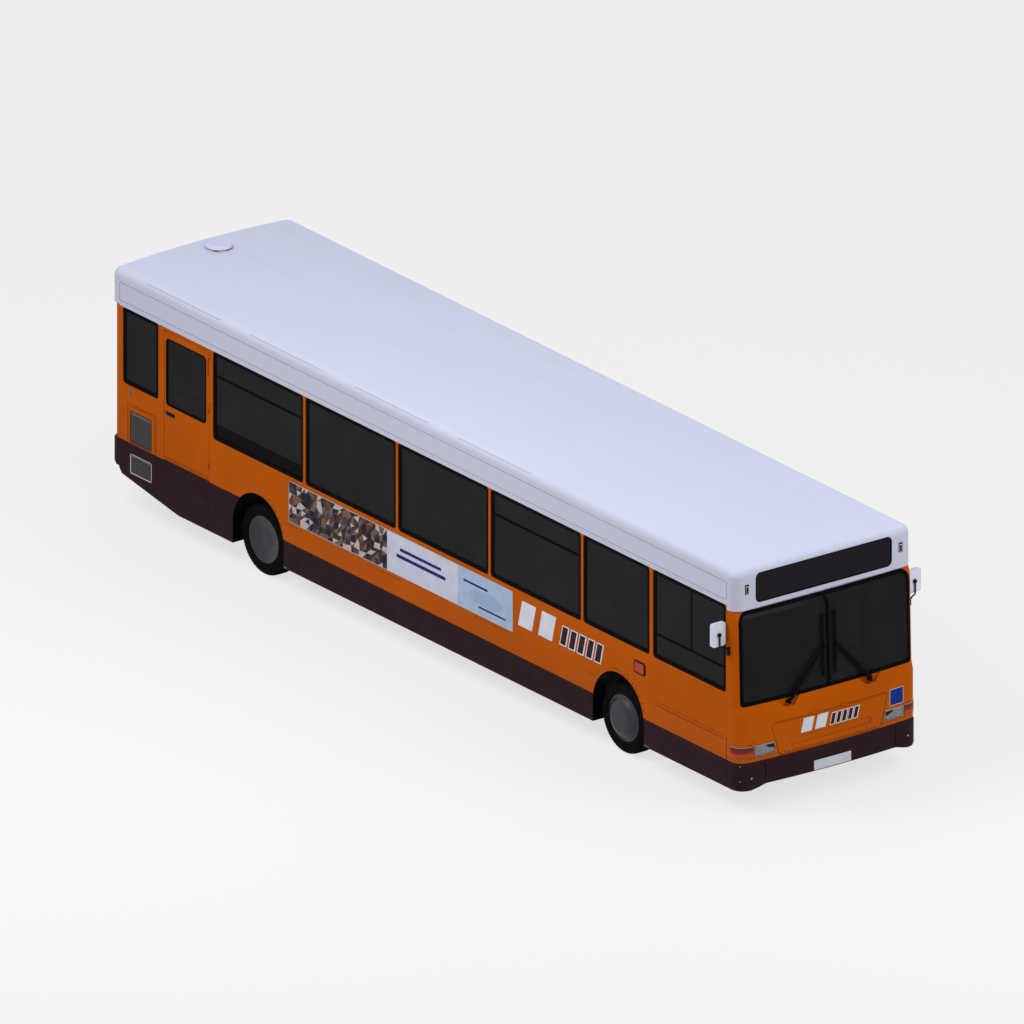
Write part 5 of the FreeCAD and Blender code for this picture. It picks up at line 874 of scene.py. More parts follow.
class BUS_OT_livery(Operator):
    """Poster, flashes, a blank sign and blank number plates"""
    bl_idname = "citybus.livery"
    bl_label = "Livery"

    # Slanted bars: how many, start, pitch, first and last edge, foot, top, finish, lift, columns
    FLASHES = {
        "side_flashes": ("right", "coach", (
            (2, 1.66, 0.36, 0, 0.25, 0.93, 1.23, "flash_white", 0.0010, 1),
            (5, 2.40, 0.155, 0, 0.125, 0.94, 1.18, "flash_white", 0.0010, 1),
            (5, 2.40, 0.155, 0.016, 0.109, 0.954, 1.166, "flash_dark", 0.0016, 1))),
        "front_flashes": ("front", "front_flap", (
            (2, -0.40, 0.185, 0, 0.14, 0.765, 0.925, "flash_white", 0.0010, 2),
            (5, -0.02, 0.078, 0, 0.066, 0.765, 0.905, "flash_white", 0.0010, 1),
            (5, -0.02, 0.078, 0.010, 0.056, 0.774, 0.896, "flash_dark", 0.0016, 1))),
    }

    def execute(self, context):
        skins = {look: skin_of(look) for look in ("right", "front", "rear")}
        self.poster(skins["right"])
        for name, (look, body, bars) in self.FLASHES.items():
            self.flashes(skins[look], name, body, bars)
        shape = Shape()
        for edge, finish, lift in ((0, "sign_edge", 0.001), (0.005, "sign", 0.0016)):
            outline = corners(0.808 + edge, 1.000 - edge, 0.778 + edge, 0.966 - edge)
            skins["front"].patch(shape, outline, finish, lift, 6)
        shape.piece("blank_front_sign", "coach", "display_glass")
        self.plate(skins["front"], "front_plate", 0.362, "plate_white")
        self.plate(skins["rear"], "rear_plate", 0.655, "plate_yellow")
        return DONE

    def poster(self, right):
        """A side poster: a picture of coloured facets and a pale field with plain bars."""
        shape = Shape()
        low, high = 0.815, 1.28
        start, seam, blue, end = -2.45, -0.69, 0.595, 1.562
        right.patch(shape, corners(start, end, low, high), "poster_pale", 0.0008, 8)
        right.patch(shape, corners(blue, end, low, high), "poster_light", 0.0011, 4)
        self.facets(right, shape, (start, seam), (low, high))
        for bar in ((-0.46, 0.28, 1.105, 1.14), (-0.52, 0.36, 1.02, 1.06),
                    (0.68, 1.12, 1.13, 1.155), (0.95, 1.44, 0.90, 0.92)):
            right.film(shape, rounded(*bar, 0.012, 3), "poster_ink", 0.0018)
        right.line(shape, [(blue, low + 0.01), (blue, high - 0.01)], 0.008, "poster_ink")
        ways = [math.tau * step / 40 for step in range(40)]
        oval = [(1.08 + 0.30 * math.cos(way), 1.02 + 0.085 * math.sin(way)) for way in ways]
        right.film(shape, oval, "poster_oval", 0.0014)
        border = corners(start, end, low, high)
        right.line(shape, border + border[:1], 0.006, "poster_light", 0.0014)
        shape.piece("side_poster", "coach", "body_orange")

    def facets(self, right, shape, across, up):
        """A field of uneven four-cornered cells, each halved into two tints."""
        picks = random.Random(7)
        columns, rows = 24, 7
        grid = {}
        for column in range(columns + 1):
            for line in range(rows + 1):
                x = across[0] + (across[1] - across[0]) * column / columns
                z = up[0] + (up[1] - up[0]) * line / rows
                if 0 < column < columns:
                    x += picks.uniform(-0.024, 0.024)
                if 0 < line < rows:
                    z += picks.uniform(-0.02, 0.02)
                grid[column, line] = (x, z)
        for column in range(columns):
            for line in range(rows):
                first, second, third, fourth = (grid[column + at, line + up] for at, up in
                                                corners(0, 1, 0, 1))
                wave = math.sin(column * 0.45 + line * 0.7) + picks.uniform(-0.9, 0.9)
                for half in ((first, second, third), (first, third, fourth)):
                    tint = int(wave * 2.2 + picks.uniform(0, 2) + 3) % len(POSTER_TINTS)
                    right.film(shape, half, f"poster_{tint}", 0.0012)

    def flashes(self, skin, name, body, bars):
        """Slanted white bars, the small ones with dark middles."""
        shape = Shape()
        for count, start, pitch, first, last, foot, top, finish, lift, columns in bars:
            lean = 0.25 * (top - foot)
            for x, _ in row(start, pitch, count, 0):
                outline = [(x + first, foot), (x + last, foot), (x + last + lean, top),
                           (x + first + lean, top)]
                skin.patch(shape, outline, finish, lift, columns)
        shape.piece(name, body, "body_orange")

    def plate(self, skin, name, height, finish):
        """A blank pressed plate that follows the bumper's bow, on a black backing."""
        shape = Shape()
        half, rise, steps = 0.248, 0.0555, 10
        for edge, tone, inner, outer in ((0.006, "black", -0.004, 0.004),
                                         (0, finish, 0.003, 0.0062)):
            low, high = height - rise - edge, height + rise + edge
            rings = []
            for step in range(steps + 1):
                across = (half + edge) * (2 * step / steps - 1)
                foot = skin.meet(across, max(high - 0.01, 0.38))
                rings.append([spot("X", foot.x - skin.direction.x * depth, foot.y, z)
                              for depth, z in ((inner, low), (outer, low), (outer, high),
                                               (inner, high))])
            shape.rings(rings, tone)
        shape.piece(name, "coach", "roof_white", 0.0006)


# Seams, rivets and screws

class BUS_OT_seams(Operator):
    """Panel seams, rivets, arch lips and small flaps"""
    bl_idname = "citybus.seams"
    bl_label = "Seams"

    def execute(self, context):
        for side in SIDES:
            skin = skin_of(side)
            self.side_lines(side, skin)
            self.side_rivets(side, skin)
            self.arches(side, skin)
        self.front_lines()
        self.tail_details()
        return DONE

    def side_lines(self, side, skin):
        """Joints of the roof band, the skirts and the side panels."""
        shape = Shape()
        width = bpy.context.scene.bus_sizes.seam
        tail, nose = -5.49, 5.40
        band = (2.41, 2.617)
        for height in band:
            skin.dashes(shape, (tail, height), (nose, height), width, "roof_seam", *LONG_DASHES)
        for x in (tail, nose):
            skin.line(shape, [(x, height) for height in band], width, "roof_seam")
        for start in (-5.03, -3.17, -1.30, 0.56):
            skin.dashes(shape, (start, 2.728), (start + 1.3, 2.728), 0.005, "drip_seam", 0.02,
                        0.024)
        skin.line(shape, [(-2.55, 0.566), (3.005, 0.566)], 0.003, "seam")
        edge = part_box("rear_entrance_leaf")[0][0] - 0.04 if side == "left" else nose
        skin.line(shape, [(tail, 2.356), (edge, 2.356)], 0.012, "roof")
        for x in (-0.55, 1.15):
            skin.line(shape, [(x, 0.25), (x, 0.56)], 0.003, "skirt_seam")
        skin.dashes(shape, (5.415, 0.595), (5.53, 0.595), 0.006, "band", 0.022, 0.012)
        shape.piece(f"{side}_seams", "coach", "body_orange")

    def side_rivets(self, side, skin):
        """Rivets along the panels' feet, and bright screws and a dotted line low on the skirt."""
        shape = Shape()
        skin.dashes(shape, (-2.53, 0.249), (2.98, 0.249), 0.006, "release_red", 0.012, 0.028)
        skirt = [(x, 0.256) for x in (3.935, 3.965, 3.995, -2.535, -2.505)]
        skin.screws(shape, skirt, 0.0065, "bright")
        for start, pitch, count, height in ((3.04, -0.04, 5, 0.778), (-2.52, 0.04, 6, 0.769),
                                            (-1.03, 0.04, 15, 0.766), (3.39, 0.04, 4, 0.980),
                                            (0.90, 0.04, 15, 0.781)):
            skin.screws(shape, row(start, pitch, count, height), 0.0080, "band")
        shape.piece(f"{side}_rivets", "coach", "body_orange")

    def arches(self, side, skin):
        """A rubber lip round each wheel arch with a row of screws outside it."""
        shape, screws = Shape(), Shape()
        radius, screw_radius, foot, steps = 0.455, 0.481, 0.245, 48
        for node in ARCHES:
            x = middle(node).x
            ways = [math.pi * step / steps for step in range(steps + 1)]
            route = [(x - radius * math.cos(way), ARCH_CENTRE + radius * math.sin(way))
                     for way in ways]
            rings = []
            for a, b in [(route[0][0], foot), *route, (route[-1][0], foot)]:
                away = Vector((a - x, 0, max(b - ARCH_CENTRE, 0))).normalized()
                base = Vector((a, SIDES[side] * 1.199, b))
                out = -skin.direction * 0.004
                rings.append([base - away * 0.009, base - away * 0.009 + out,
                              base + away * 0.001 + out, base + away * 0.001])
            shape.rings(rings, "rubber")
            ways = [math.radians(102 + 68 * step / 7) for step in range(8)]
            skin.screws(screws, [(x - screw_radius * math.cos(way),
                                  ARCH_CENTRE + screw_radius * math.sin(way)) for way in ways],
                        0.0090, "band")
        shape.piece(f"{side}_arch_lips", "coach", "black_rubber", 0.0015)
        screws.piece(f"{side}_arch_screws", "coach", "body_orange")

    def front_lines(self):
        """Seams of the front panel and bumper, and the bright rivets at the bumper's corners."""
        skin = skin_of("front")
        shape, rivets = Shape(), Shape()
        for sign in MIRRORED:
            skin.line(shape, [(sign * 1.009, 0.585), (sign * 1.009, 0.80)], 0.003, "seam")
            skin.line(shape, [(sign * 0.870, 0.300), (sign * 0.870, 0.552)], 0.009, "band",
                      0.0012, 0.02)
            for y, z, radius in ((1.165, 0.532, 0.006), (1.05, 0.385, 0.010),
                                 (1.165, 0.357, 0.006)):
                skin.screws(rivets, [(sign * y, z)], radius, "bright", leaning=True)
        for start in (-1.06, 0.70):
            skin.dashes(shape, (start, 0.606), (start + 0.36, 0.606), 0.005, "band",
                        *SHORT_DASHES)
        skin.line(shape, [(-1.09, 2.285), (1.09, 2.285)], 0.026, "roof", 0.0014, 0.04)
        shape.piece("front_seams", "coach", "body_orange")
        rivets.piece("bumper_rivets", "coach", "skirt_brown")

    def tail_details(self):
        """Service flap, its lock, and corner joints near the radiator."""
        skin = skin_of("right")
        shape, lock = Shape(), Shape()
        for route, width, finish in (
                ([(-5.345, 0.815), (-5.345, 1.26), (-4.84, 1.26), (-4.84, 0.815)], 0.005, "seam"),
                ([(-5.325, 0.815), (-5.325, 1.24), (-4.86, 1.24), (-4.86, 0.815)], 0.003, "seam"),
                ([(-4.047, 0.61), (-3.90, 0.61), (-3.90, 0.44)], 0.005, "skirt_seam"),
                ([(4.12, 0.83), (5.37, 0.83)], 0.003, "seam"),
                ([(4.12, 0.79), (5.37, 0.79)], 0.005, "band"),
                ([(5.40, 0.83), (5.40, 0.25)], 0.006, "band")):
            skin.line(shape, route, width, finish)
        for z in (1.70, 1.54, 1.51, 1.24):
            skin.dashes(shape, (-5.585, z), (-5.51, z), 0.005, "seam", 0.02, 0.012)
        shape.piece("service_seams", "coach", "body_orange")
        lock.turned([(-0.002, 0.026), (0.005, 0.026), (0.007, 0.022), (0.007, 0.012),
                     (0.004, 0.010)], skin.meet(-5.30, 1.385), (0, -1, 0), "nut", 28)
        lock.box((-5.302, -1.2095, 1.373), (-5.298, -1.2035, 1.397), "black")
        lock.piece("service_lock", "coach", "cast_metal")


# Windows

class BUS_OT_windows(Operator):
    """Sash bars, the black part of one pane and the inserts of the window rubbers"""
    bl_idname = "citybus.windows"
    bl_label = "Windows"

    def execute(self, context):
        for side, sign in SIDES.items():
            skin = Skin(side, "side_window_glass")
            panes = on_side(islands("side_window_glass"), sign)
            shape = Shape()
            hoppers = 2 if side == "left" else 1
            for count, (low, high) in enumerate(panes):
                if high.x - low.x > 1.4 and count % 3 == hoppers:
                    self.rail(skin, shape, low, high, 2.07)
            if side == "right":
                self.cab_sashes(skin, shape, *panes[-1])
                self.band(shape, *next(pane for pane in panes if pane[0].x > -4))
            shape.piece(f"{side}_window_bars", "coach", "dark_plastic", 0.0015)
            self.inserts(side, sign)
        return DONE

    def rail(self, skin, shape, low, high, z):
        """A sash's flat rail with its raised rib."""
        out = -skin.direction.y
        face = skin.meet((low.x + high.x) / 2, z).y
        for half, rise, finish in ((0.012, 0.006, "band"), (0.004, 0.0095, "rubber")):
            near, far = sorted((face - out * 0.001, face + out * rise))
            shape.box((low.x + 0.002, near, z - half), (high.x - 0.002, far, z + half), finish)

    def band(self, shape, low, high):
        """The black lower part of the first pane behind the exit."""
        x0, x1, top = low.x + 0.002, high.x - 0.002, 1.52
        outline = rounded(x0, x1, low.z + 0.002, high.z, 0.03)
        outline[7:21] = [(x1, top), (x0, top)]
        shape.slab("Y", (low.y - 0.0012, low.y + 0.001), outline, "band")

    def cab_sashes(self, skin, shape, low, high):
        """The rail and the upright of the driver's sliding pane."""
        self.rail(skin, shape, low, high, 1.61)
        face = skin.meet(4.752, 1.9).y
        shape.box((4.742, face - 0.006, 1.62), (4.762, face + 0.001, high.z - 0.003), "band")

    def inserts(self, side, sign):
        """The filler strip that locks each window rubber."""
        shape = Shape()
        margin, strip, radius = 0.017, 0.009, 0.045
        for low, high in on_side(islands("side_window_rubbers"), sign):
            y = low.y if sign < 0 else high.y
            loops = [rounded(low.x + edge, high.x - edge, low.z + edge, high.z - edge,
                             radius - edge) for edge in (margin, margin + strip)]
            rings = []
            for (ax, az), (bx, bz) in zip(*loops):
                rings.append([(ax, y - sign * 0.001, az),
                              ((ax + bx) / 2, y + sign * 0.0025, (az + bz) / 2),
                              (bx, y - sign * 0.001, bz)])
            shape.rings(rings, "bead", closed=True)
        shape.piece(f"{side}_rubber_beads", "coach", "black_rubber")


# Wheels

class BUS_OT_wheels(Operator):
    """Tyres with tread and sidewall ribs, and pressed wheels"""
    bl_idname = "citybus.wheels"
    bl_label = "Wheels"

    # Sections as (depth in from the tyre's outer face, radius)
    SIDEWALL = ((0.027, 0.2485), (0.0165, 0.262), (0.010, 0.270), (0.0085, 0.274), (0.004, 0.290),
                (0.0012, 0.304), (0.0, 0.319), (0.0022, 0.3195), (0.0022, 0.327), (0.0, 0.3275),
                (0.0015, 0.342), (0.006, 0.360), (0.0072, 0.3605), (0.0095, 0.3695),
                (0.0085, 0.3705), (0.0165, 0.3860), (0.027, 0.3965), (0.036, 0.4010))
    GROOVES = (0.0655, 0.0965, 0.1285, 0.1595)
    RIM = ((0.0195, 0.2655), (0.0160, 0.2658), (0.0146, 0.2635), (0.0150, 0.2580))
    BOWED = ((0.0125, 0.2480), (0.0080, 0.2380), (0.0020, 0.2300), (-0.0050, 0.2210),
             (-0.0150, 0.2090), (-0.0250, 0.1970), (-0.0330, 0.1840), (-0.0390, 0.1700),
             (-0.0430, 0.1570), (-0.0446, 0.1480), (-0.0449, 0.1420), (-0.0450, 0.0004),
             (0.0200, 0.0004), (0.0200, 0.0305), (0.0960, 0.0305), (0.0960, 0.0860),
             (-0.0330, 0.0860), (-0.0330, 0.1440), (-0.0215, 0.1690), (-0.0105, 0.1880),
             (0.0360, 0.2255), (0.198, 0.2257), (0.198, 0.2477), (0.0270, 0.2477))
    DISHED = ((0.0200, 0.2440), (0.0260, 0.2310), (0.0290, 0.2200), (0.0350, 0.1980),
              (0.0430, 0.1690), (0.0510, 0.1400), (0.0555, 0.1260), (0.0578, 0.1180),
              (0.0580, 0.1140), (0.0580, 0.0960), (0.0560, 0.0900), (0.0552, 0.0820),
              (0.0550, 0.0004), (0.0780, 0.0004), (0.0780, 0.0305), (0.3160, 0.0305),
              (0.3160, 0.2037), (0.4840, 0.2257), (0.4840, 0.2477), (0.2890, 0.2477),
              (0.2890, 0.2257), (0.2000, 0.2257), (0.1980, 0.2477), (0.0270, 0.2477))
    # The nodes of tyres and rims, the pieces that replace them, their body, tyres and disc
    AXLES = (("front_tyre", "front_rim", "front_tyre_tread", "front_wheel_disc", "wheel_front", 1,
              BOWED),
             ("rear_tyres", "rear_rims", "rear_tyre_treads", "rear_wheel_discs", "wheels_rear", 2,
              DISHED))

    def execute(self, context):
        for side, sign in SIDES.items():
            for *names, count, disc in self.AXLES:
                self.wheel([f"{name}_{side}" for name in names], sign, count, disc)
        return DONE

    def wheel(self, names, sign, count, disc):
        """The tyres and the wheels at one end of an axle."""
        tyres, rims, tread, discs, body = names
        low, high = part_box(tyres)
        x, outer = middle(tyres).x, high[1] if sign > 0 else -low[1]
        step = high[1] - low[1] - TYRE_WIDTH
        shape = Shape()
        for at in range(count):
            self.tyre(shape, x, outer - step * at, sign)
        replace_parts(shape.piece(tread, body, "tyre_rubber", smooth=28), tyres)
        shape = Shape()
        shape.lathe([(outer - depth, radius) for depth, radius in self.RIM + disc],
                    (x, 0, TYRE_RADIUS), (0, sign, 0), "wheel", 72)
        if disc is self.BOWED:
            self.valve(shape, x, outer + 0.026, sign, 0.196)
        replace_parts(shape.piece(discs, body, "wheel_steel", smooth=40), rims)

    def tyre(self, shape, x, outer, sign):
        """A tyre with ribbed sidewalls, four grooves, and slots in its shoulders."""
        sizes = bpy.context.scene.bus_sizes
        tread = [(groove + edge, cut) for groove in self.GROOVES for edge, cut in
                 ((-0.006, False), (-0.0045, True), (0.0045, True), (0.006, False))]
        shoulder, slot_side, slot_tread, slot_reach = 0.3855, 0.007, 0.006, 0.04
        steps = sizes.tread_steps * 3
        rings = []
        for step in range(steps):
            way = math.tau * step / steps
            slot = step % 3 == 0
            section = [(depth, height - (slot_side if slot and height > shoulder else 0))
                       for depth, height in self.SIDEWALL]
            crown = []
            for depth, cut in tread:
                slotted = slot and abs(depth - TYRE_WIDTH / 2) > slot_reach
                down = sizes.tread_depth if cut else slot_tread if slotted else 0
                crown.append((depth, TYRE_RADIUS - 0.0006 - down))
            far = [(TYRE_WIDTH - depth, height) for depth, height in reversed(section)]
            rings.append([(x + height * math.sin(way), sign * (outer - depth),
                           TYRE_RADIUS + height * math.cos(way))
                          for depth, height in section + crown + far])
        shape.rings(rings, "tyre", closed=True)

    def valve(self, shape, x, face, sign, radius):
        """The tyre's valve stem, standing out of the disc."""
        place = (x - radius * 0.6, sign * face, TYRE_RADIUS + radius * 0.8)
        shape.turned([(-0.010, 0.0065), (0.004, 0.006), (0.006, 0.0045), (0.022, 0.004),
                      (0.024, 0.003)], place, (0, sign, 0), "nut", 12)


# Lamps and the display

class BUS_OT_lamps(Operator):
    """Headlamp bowls, lamp surrounds, marker lamps and the frame of the display"""
    bl_idname = "citybus.lamps"
    bl_label = "Lamps"

    def execute(self, context):
        self.headlamps()
        self.repeaters()
        self.corner_seals()
        self.markers()
        self.tail_surrounds()
        self.display_frame()
        return DONE

    def headlamps(self):
        """Two bowls, a dark film of painted shade over the upper corner and a thin pale edge in
        each headlamp.
        """
        skin = Skin("front", "headlamps")
        bowls, trim = Shape(), Shape()
        for low, high in islands("headlamps"):
            sign = 1 if high.y > 0 else -1
            inner, outer = sorted((abs(low.y), abs(high.y)))
            height = (low.z + high.z) / 2
            for across, radius in ((inner + 0.068, 0.050), (outer - 0.075, 0.046)):
                face = skin.meet(sign * across, height)
                self.bowl(bowls, (face.x - 0.004, face.y, height), radius)
            rings = []
            for across in (inner + 0.006, (inner + outer) / 2, outer - 0.006):
                back = skin.lifted(sign * across, height, -0.022)
                rings.append([(back.x - a, back.y, b) for a, b in
                              ((0, low.z + 0.006), (0, high.z - 0.006),
                               (0.004, high.z - 0.006), (0.004, low.z + 0.006))])
            trim.rings(rings, "lamp_back")
            a, b = sign * (inner + 0.010), sign * (outer - 0.010)
            loop = corners(a, b, low.z + 0.008, high.z - 0.008)
            skin.line(trim, loop + loop[:1], 0.0035, "bead", 0.0006)
            skin.line(trim, [(a, high.z - 0.005), (b, high.z - 0.005)], 0.005, "lamp_edge", 0.0010)
            # A dark film over the upper inner corner: painted shade.
            shade = [(a + (b - a) * share, high.z - drop) for share, drop in
                     ((0, 0.014), (0.46, 0.014), (0.30, 0.046), (0, 0.062))]
            skin.patch(trim, shade, "lamp_shade", 0.0009, 4)
        bowls.piece("headlamp_bowls", "coach", "clear_lens")
        trim.piece("headlamp_trim", "coach", "clear_lens")

    def bowl(self, shape, centre, radius):
        """A bright reflector with its bulb."""
        shape.turned([(-0.034, 0.014), (-0.028, 0.026), (-0.016, 0.040), (-0.004, radius - 0.003),
                      (0, radius - 0.002), (0, radius), (-0.006, radius), (-0.018, 0.043),
                      (-0.031, 0.030), (-0.037, 0.016)], centre, (1, 0, 0), "bright", 32)
        shape.lathe([(-0.035, 0.0004), (-0.035, 0.010), (-0.014, 0.010), (-0.009, 0.0075),
                     (-0.006, 0.0004)], centre, (1, 0, 0), "bulb", 20)

    def repeaters(self):
        """A black frame with two screws round each side repeater."""
        shape = Shape()
        for low, high in islands("amber_lamps"):
            if high.z < 1:
                continue
            sign = 1 if high.y > 0 else -1
            near, far = sign * 1.1995, sign * (max(abs(low.y), abs(high.y)) + 0.003)
            shape.surround("Y", (low.x, high.x, low.z, high.z), (
                (0.002, near, 0.018), (0.002, far - sign * 0.002, 0.018), (0, far, 0.016),
                (-0.010, far, 0.012), (-0.012, near, 0.012)), "black", 4)
            for x in (low.x + 0.008, high.x - 0.008):
                shape.screw((x, far, (low.z + high.z) / 2), (0, sign, 0), 0.0035, "nut")
        shape.piece("repeater_frames", "coach", "amber_lens", 0.001)

    def corner_seals(self):
        """A dark dash over each corner lamp."""
        skin = skin_of("front")
        shape = Shape()
        for sign in MIRRORED:
            skin.line(shape, [(sign * 1.03, 0.762), (sign * 1.10, 0.762)], 0.006, "band")
        shape.piece("corner_lamp_seals", "coach", "amber_lens")

    def markers(self):
        """Small dark marker lamps at the upper corners of the display."""
        skin = Skin("front", "front_dome", "roof")
        shape = Shape()
        low, high, half = 2.478, 2.588, 0.025
        for across in (1.031, -1.031):
            for edge, finish, lift in ((0.0, "band", 0.004), (0.008, "lamp_edge", 0.006),
                                       (0.0135, "band", 0.0075)):
                reach = half - edge
                skin.film(shape, corners(across - reach, across + reach, low + edge,
                                         high - edge * 2), finish, lift)
        shape.piece("marker_lamps", "coach", "clear_lens")

    def tail_surrounds(self):
        """A black surround, a round lens and two screws on each rear lamp."""
        shape = Shape()
        for low, high in islands("rear_lamps"):
            x, height = low.x, (low.z + high.z) / 2
            shape.surround("X", (low.y, high.y, low.z, high.z), [
                (grow, x + depth, 0.014) for grow, depth in
                ((-0.0025, 0.010), (-0.0025, -0.0025), (-0.012, -0.0045), (-0.012, 0.002))],
                "black", 3)
            for y in (low.y + 0.016, high.y - 0.016):
                shape.screw((x - 0.0002, y, height), (-1, 0, 0), 0.0045, "nut")
            shape.lathe([(-0.002, CORE), (-0.002, 0.054), (-0.001, 0.054), (0.002, 0.050),
                         (0.004, 0.030), (0.0045, CORE), (0.002, CORE)],
                        (x, (low.y + high.y) / 2, height), (-1, 0, 0), "tail_lens", 40)
        shape.piece("tail_lamp_surrounds", "coach", "red_lens", 0.0008)

    def display_frame(self):
        """A rubber frame round the display's glass."""
        skin = Skin("front", "front_dome", "destination_display")
        low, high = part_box("destination_display")
        shape = Shape()
        half = high[1] - 0.003
        loop = rounded(-half, half, low[2] + 0.003, high[2] - 0.003, 0.058, 8)
        skin.line(shape, loop + loop[:1], 0.012, "rubber", 0.003, 0.2)
        shape.piece("display_seal", "coach", "black_rubber")


# Mirrors, wipers, doors and covers

class BUS_OT_fittings(Operator):
    """Mirror glasses, wiper rubbers, handles, locks and the seals of the doors"""
    bl_idname = "citybus.fittings"
    bl_label = "Fittings"

    def execute(self, context):
        self.mirror_glasses()
        self.exit_door()
        self.entrance()
        self.grille_rims()
        self.wiper_rubbers()
        self.flap_locks()
        self.cover_louvres()
        self.rear_seams()
        self.vent_base()
        self.engine_trim()
        return DONE

    def mirror_glasses(self):
        """A glass with a black rim on the rear of each mirror head."""
        shape = Shape()
        for sign in MIRRORED:
            y0, y1 = sorted((sign * 1.223, sign * 1.401))
            shape.surround("X", (y0, y1, 1.902, 2.170), [
                (-margin, x, 0.030) for margin, x in
                ((0.010, 5.3745), (0.010, 5.3705), (0.017, 5.3695), (0.019, 5.3725))], "black", 5)
            pane = rounded(y0 + 0.016, y1 - 0.016, 1.918, 2.154, 0.022, 5)
            shape.slab("X", (5.3735, 5.3712), pane, "mirror")
        shape.piece("mirror_glasses", "coach", "mirror_white", 0.0008)

    def exit_door(self):
        """Handle, red release mark, foot lines and pane seal of the emergency door."""
        skin = Skin("right", "emergency_door")
        shape = Shape()
        face = skin.meet(-4.58, 1.365).y
        for box, radius, near, far in (((-4.668, -4.502, 1.346, 1.388), 0.012, 0.001, -0.003),
                                       ((-4.660, -4.510, 1.350, 1.384), 0.010, -0.002, -0.010)):
            shape.slab("Y", (face + near, face + far), rounded(*box, radius, 4), "black")
        shape.turned([(-0.001, 0.009), (0.004, 0.009), (0.005, 0.007)],
                     (-4.64, face - 0.009, 1.366), (0, -1, 0), "nut", 20)
        skin.film(shape, rounded(-3.914, -3.896, 2.03, 2.18, 0.004, 3), "release_red", 0.0012)
        for z in (0.836, 0.858):
            skin.line(shape, [(-4.675, z), (-3.90, z)], 0.004, "seam")
        self.seal(shape, *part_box("emergency_door_glass"), face, -1)
        shape.piece("exit_door_fittings", "emergency_door", "body_orange", 0.0008)

    def seal(self, shape, low, high, face, sign):
        """A round-cornered rubber round a pane."""
        shape.surround("Y", (low[0], high[0], low[2], high[2]), [
            (grow, face + sign * lift, 0.040 + grow) for grow, lift in
            ((0.012, -0.001), (0.010, 0.004), (-0.004, 0.005), (-0.012, -0.008),
             (0.012, -0.008))], "rubber", 5)

    def entrance(self):
        """Pane seals, edge rubbers and push bars of the two door leaves."""
        for name in ("rear", "front"):
            leaf = f"{name}_entrance_leaf"
            low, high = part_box(leaf)
            face, x = high[1], middle(leaf).x
            shape = Shape()
            for pane in islands(leaf + "_glass"):
                self.seal(shape, *pane, face, 1)
            for edge in (low[0] + 0.006, high[0] - 0.006):
                shape.box((edge - 0.004, face - 0.001, low[2] + 0.02),
                          (edge + 0.004, face + 0.004, high[2] - 0.02), "bead")
            inner, reach, height = low[1] - 0.030, 0.22, 1.0
            for end in (x - 0.20, x + 0.20):
                shape.box((end - 0.008, inner, height - 0.015),
                          (end + 0.008, low[1] + 0.002, height + 0.015), "pole")
            shape.turned([(-reach, 0.011), (reach, 0.011)], (x, inner, height), (1, 0, 0), "pole",
                         20)
            shape.piece(f"{name}_leaf_trim", f"entrance_{name}_leaf", "black_rubber", 0.0008)

    def grille_rims(self):
        """An edge round each grille, and upright bars before a black backing behind it."""
        shape = Shape()
        x0, x1, face = -5.295, -4.922, -1.1985
        for low, high, finish in ((0.47, 0.686, "lamp_edge"), (0.826, 1.185, "seam")):
            shape.box((x0 - 0.005, -1.1725, low - 0.008), (x1 + 0.005, -1.1690, high + 0.008),
                      "black")
            shape.surround("Y", (x0, x1, low, high), [
                (grow, face - lift, 0.018 + grow) for grow, lift in
                ((0.006, 0.0), (0.005, 0.003), (-0.002, 0.003), (-0.004, -0.002))], finish, 4)
            for count in range(1, 16):
                x = -5.283 + 0.348 * count / 16
                shape.box((x - 0.0012, -1.190, low + 0.011), (x + 0.0012, -1.187, high - 0.011),
                          "grille")
        shape.piece("grille_rims", "coach", "grey_metal")

    def wiper_rubbers(self):
        """The rubber edge, the clips and the arm cover of each wiper."""
        shape = Shape()
        skin = Skin("front", "wipers")
        for sign in MIRRORED:
            y = sign * 0.080
            rings = []
            for z in (1.352, 1.55, 1.75, 1.95, 2.058):
                x = skin.meet(y, z).x
                rings.append([(x - depth, y + half, z) for depth, half in
                              ((0.0125, -0.003), (0.0125, 0.003), (0.020, 0.0012),
                               (0.020, -0.0012))])
            shape.rings(rings, "rubber")
            for z in (1.45, 1.90):
                x = skin.meet(y, z).x
                shape.box((x - 0.012, y - 0.014, z - 0.010), (x + 0.003, y + 0.014, z + 0.010),
                          "black")
            self.arm_cover(shape, skin.meet(sign * 0.545, 1.154), skin.meet(y, 1.680))
        shape.piece("wiper_rubbers", "coach", "dark_plastic", 0.0006)

    def arm_cover(self, shape, low, high):
        """The spring housing that bridges a wiper's two arms, narrowing towards the blade."""
        between = Vector((0.0015, 0, 0.017))
        across = (high - low).cross(Vector((1, 0, 0))).normalized()
        section = ((-1, 0), (-0.7, 0.004), (0.7, 0.004), (1, 0), (1, -0.003), (-1, -0.003))
        rings = []
        for share, half in ((0.02, 0.020), (0.06, 0.027), (0.50, 0.026), (0.86, 0.018),
                            (0.90, 0.012)):
            place = low.lerp(high, share) + between
            rings.append([place + across * side * half + Vector((depth, 0, 0))
                          for side, depth in section])
        shape.rings(rings, "band")

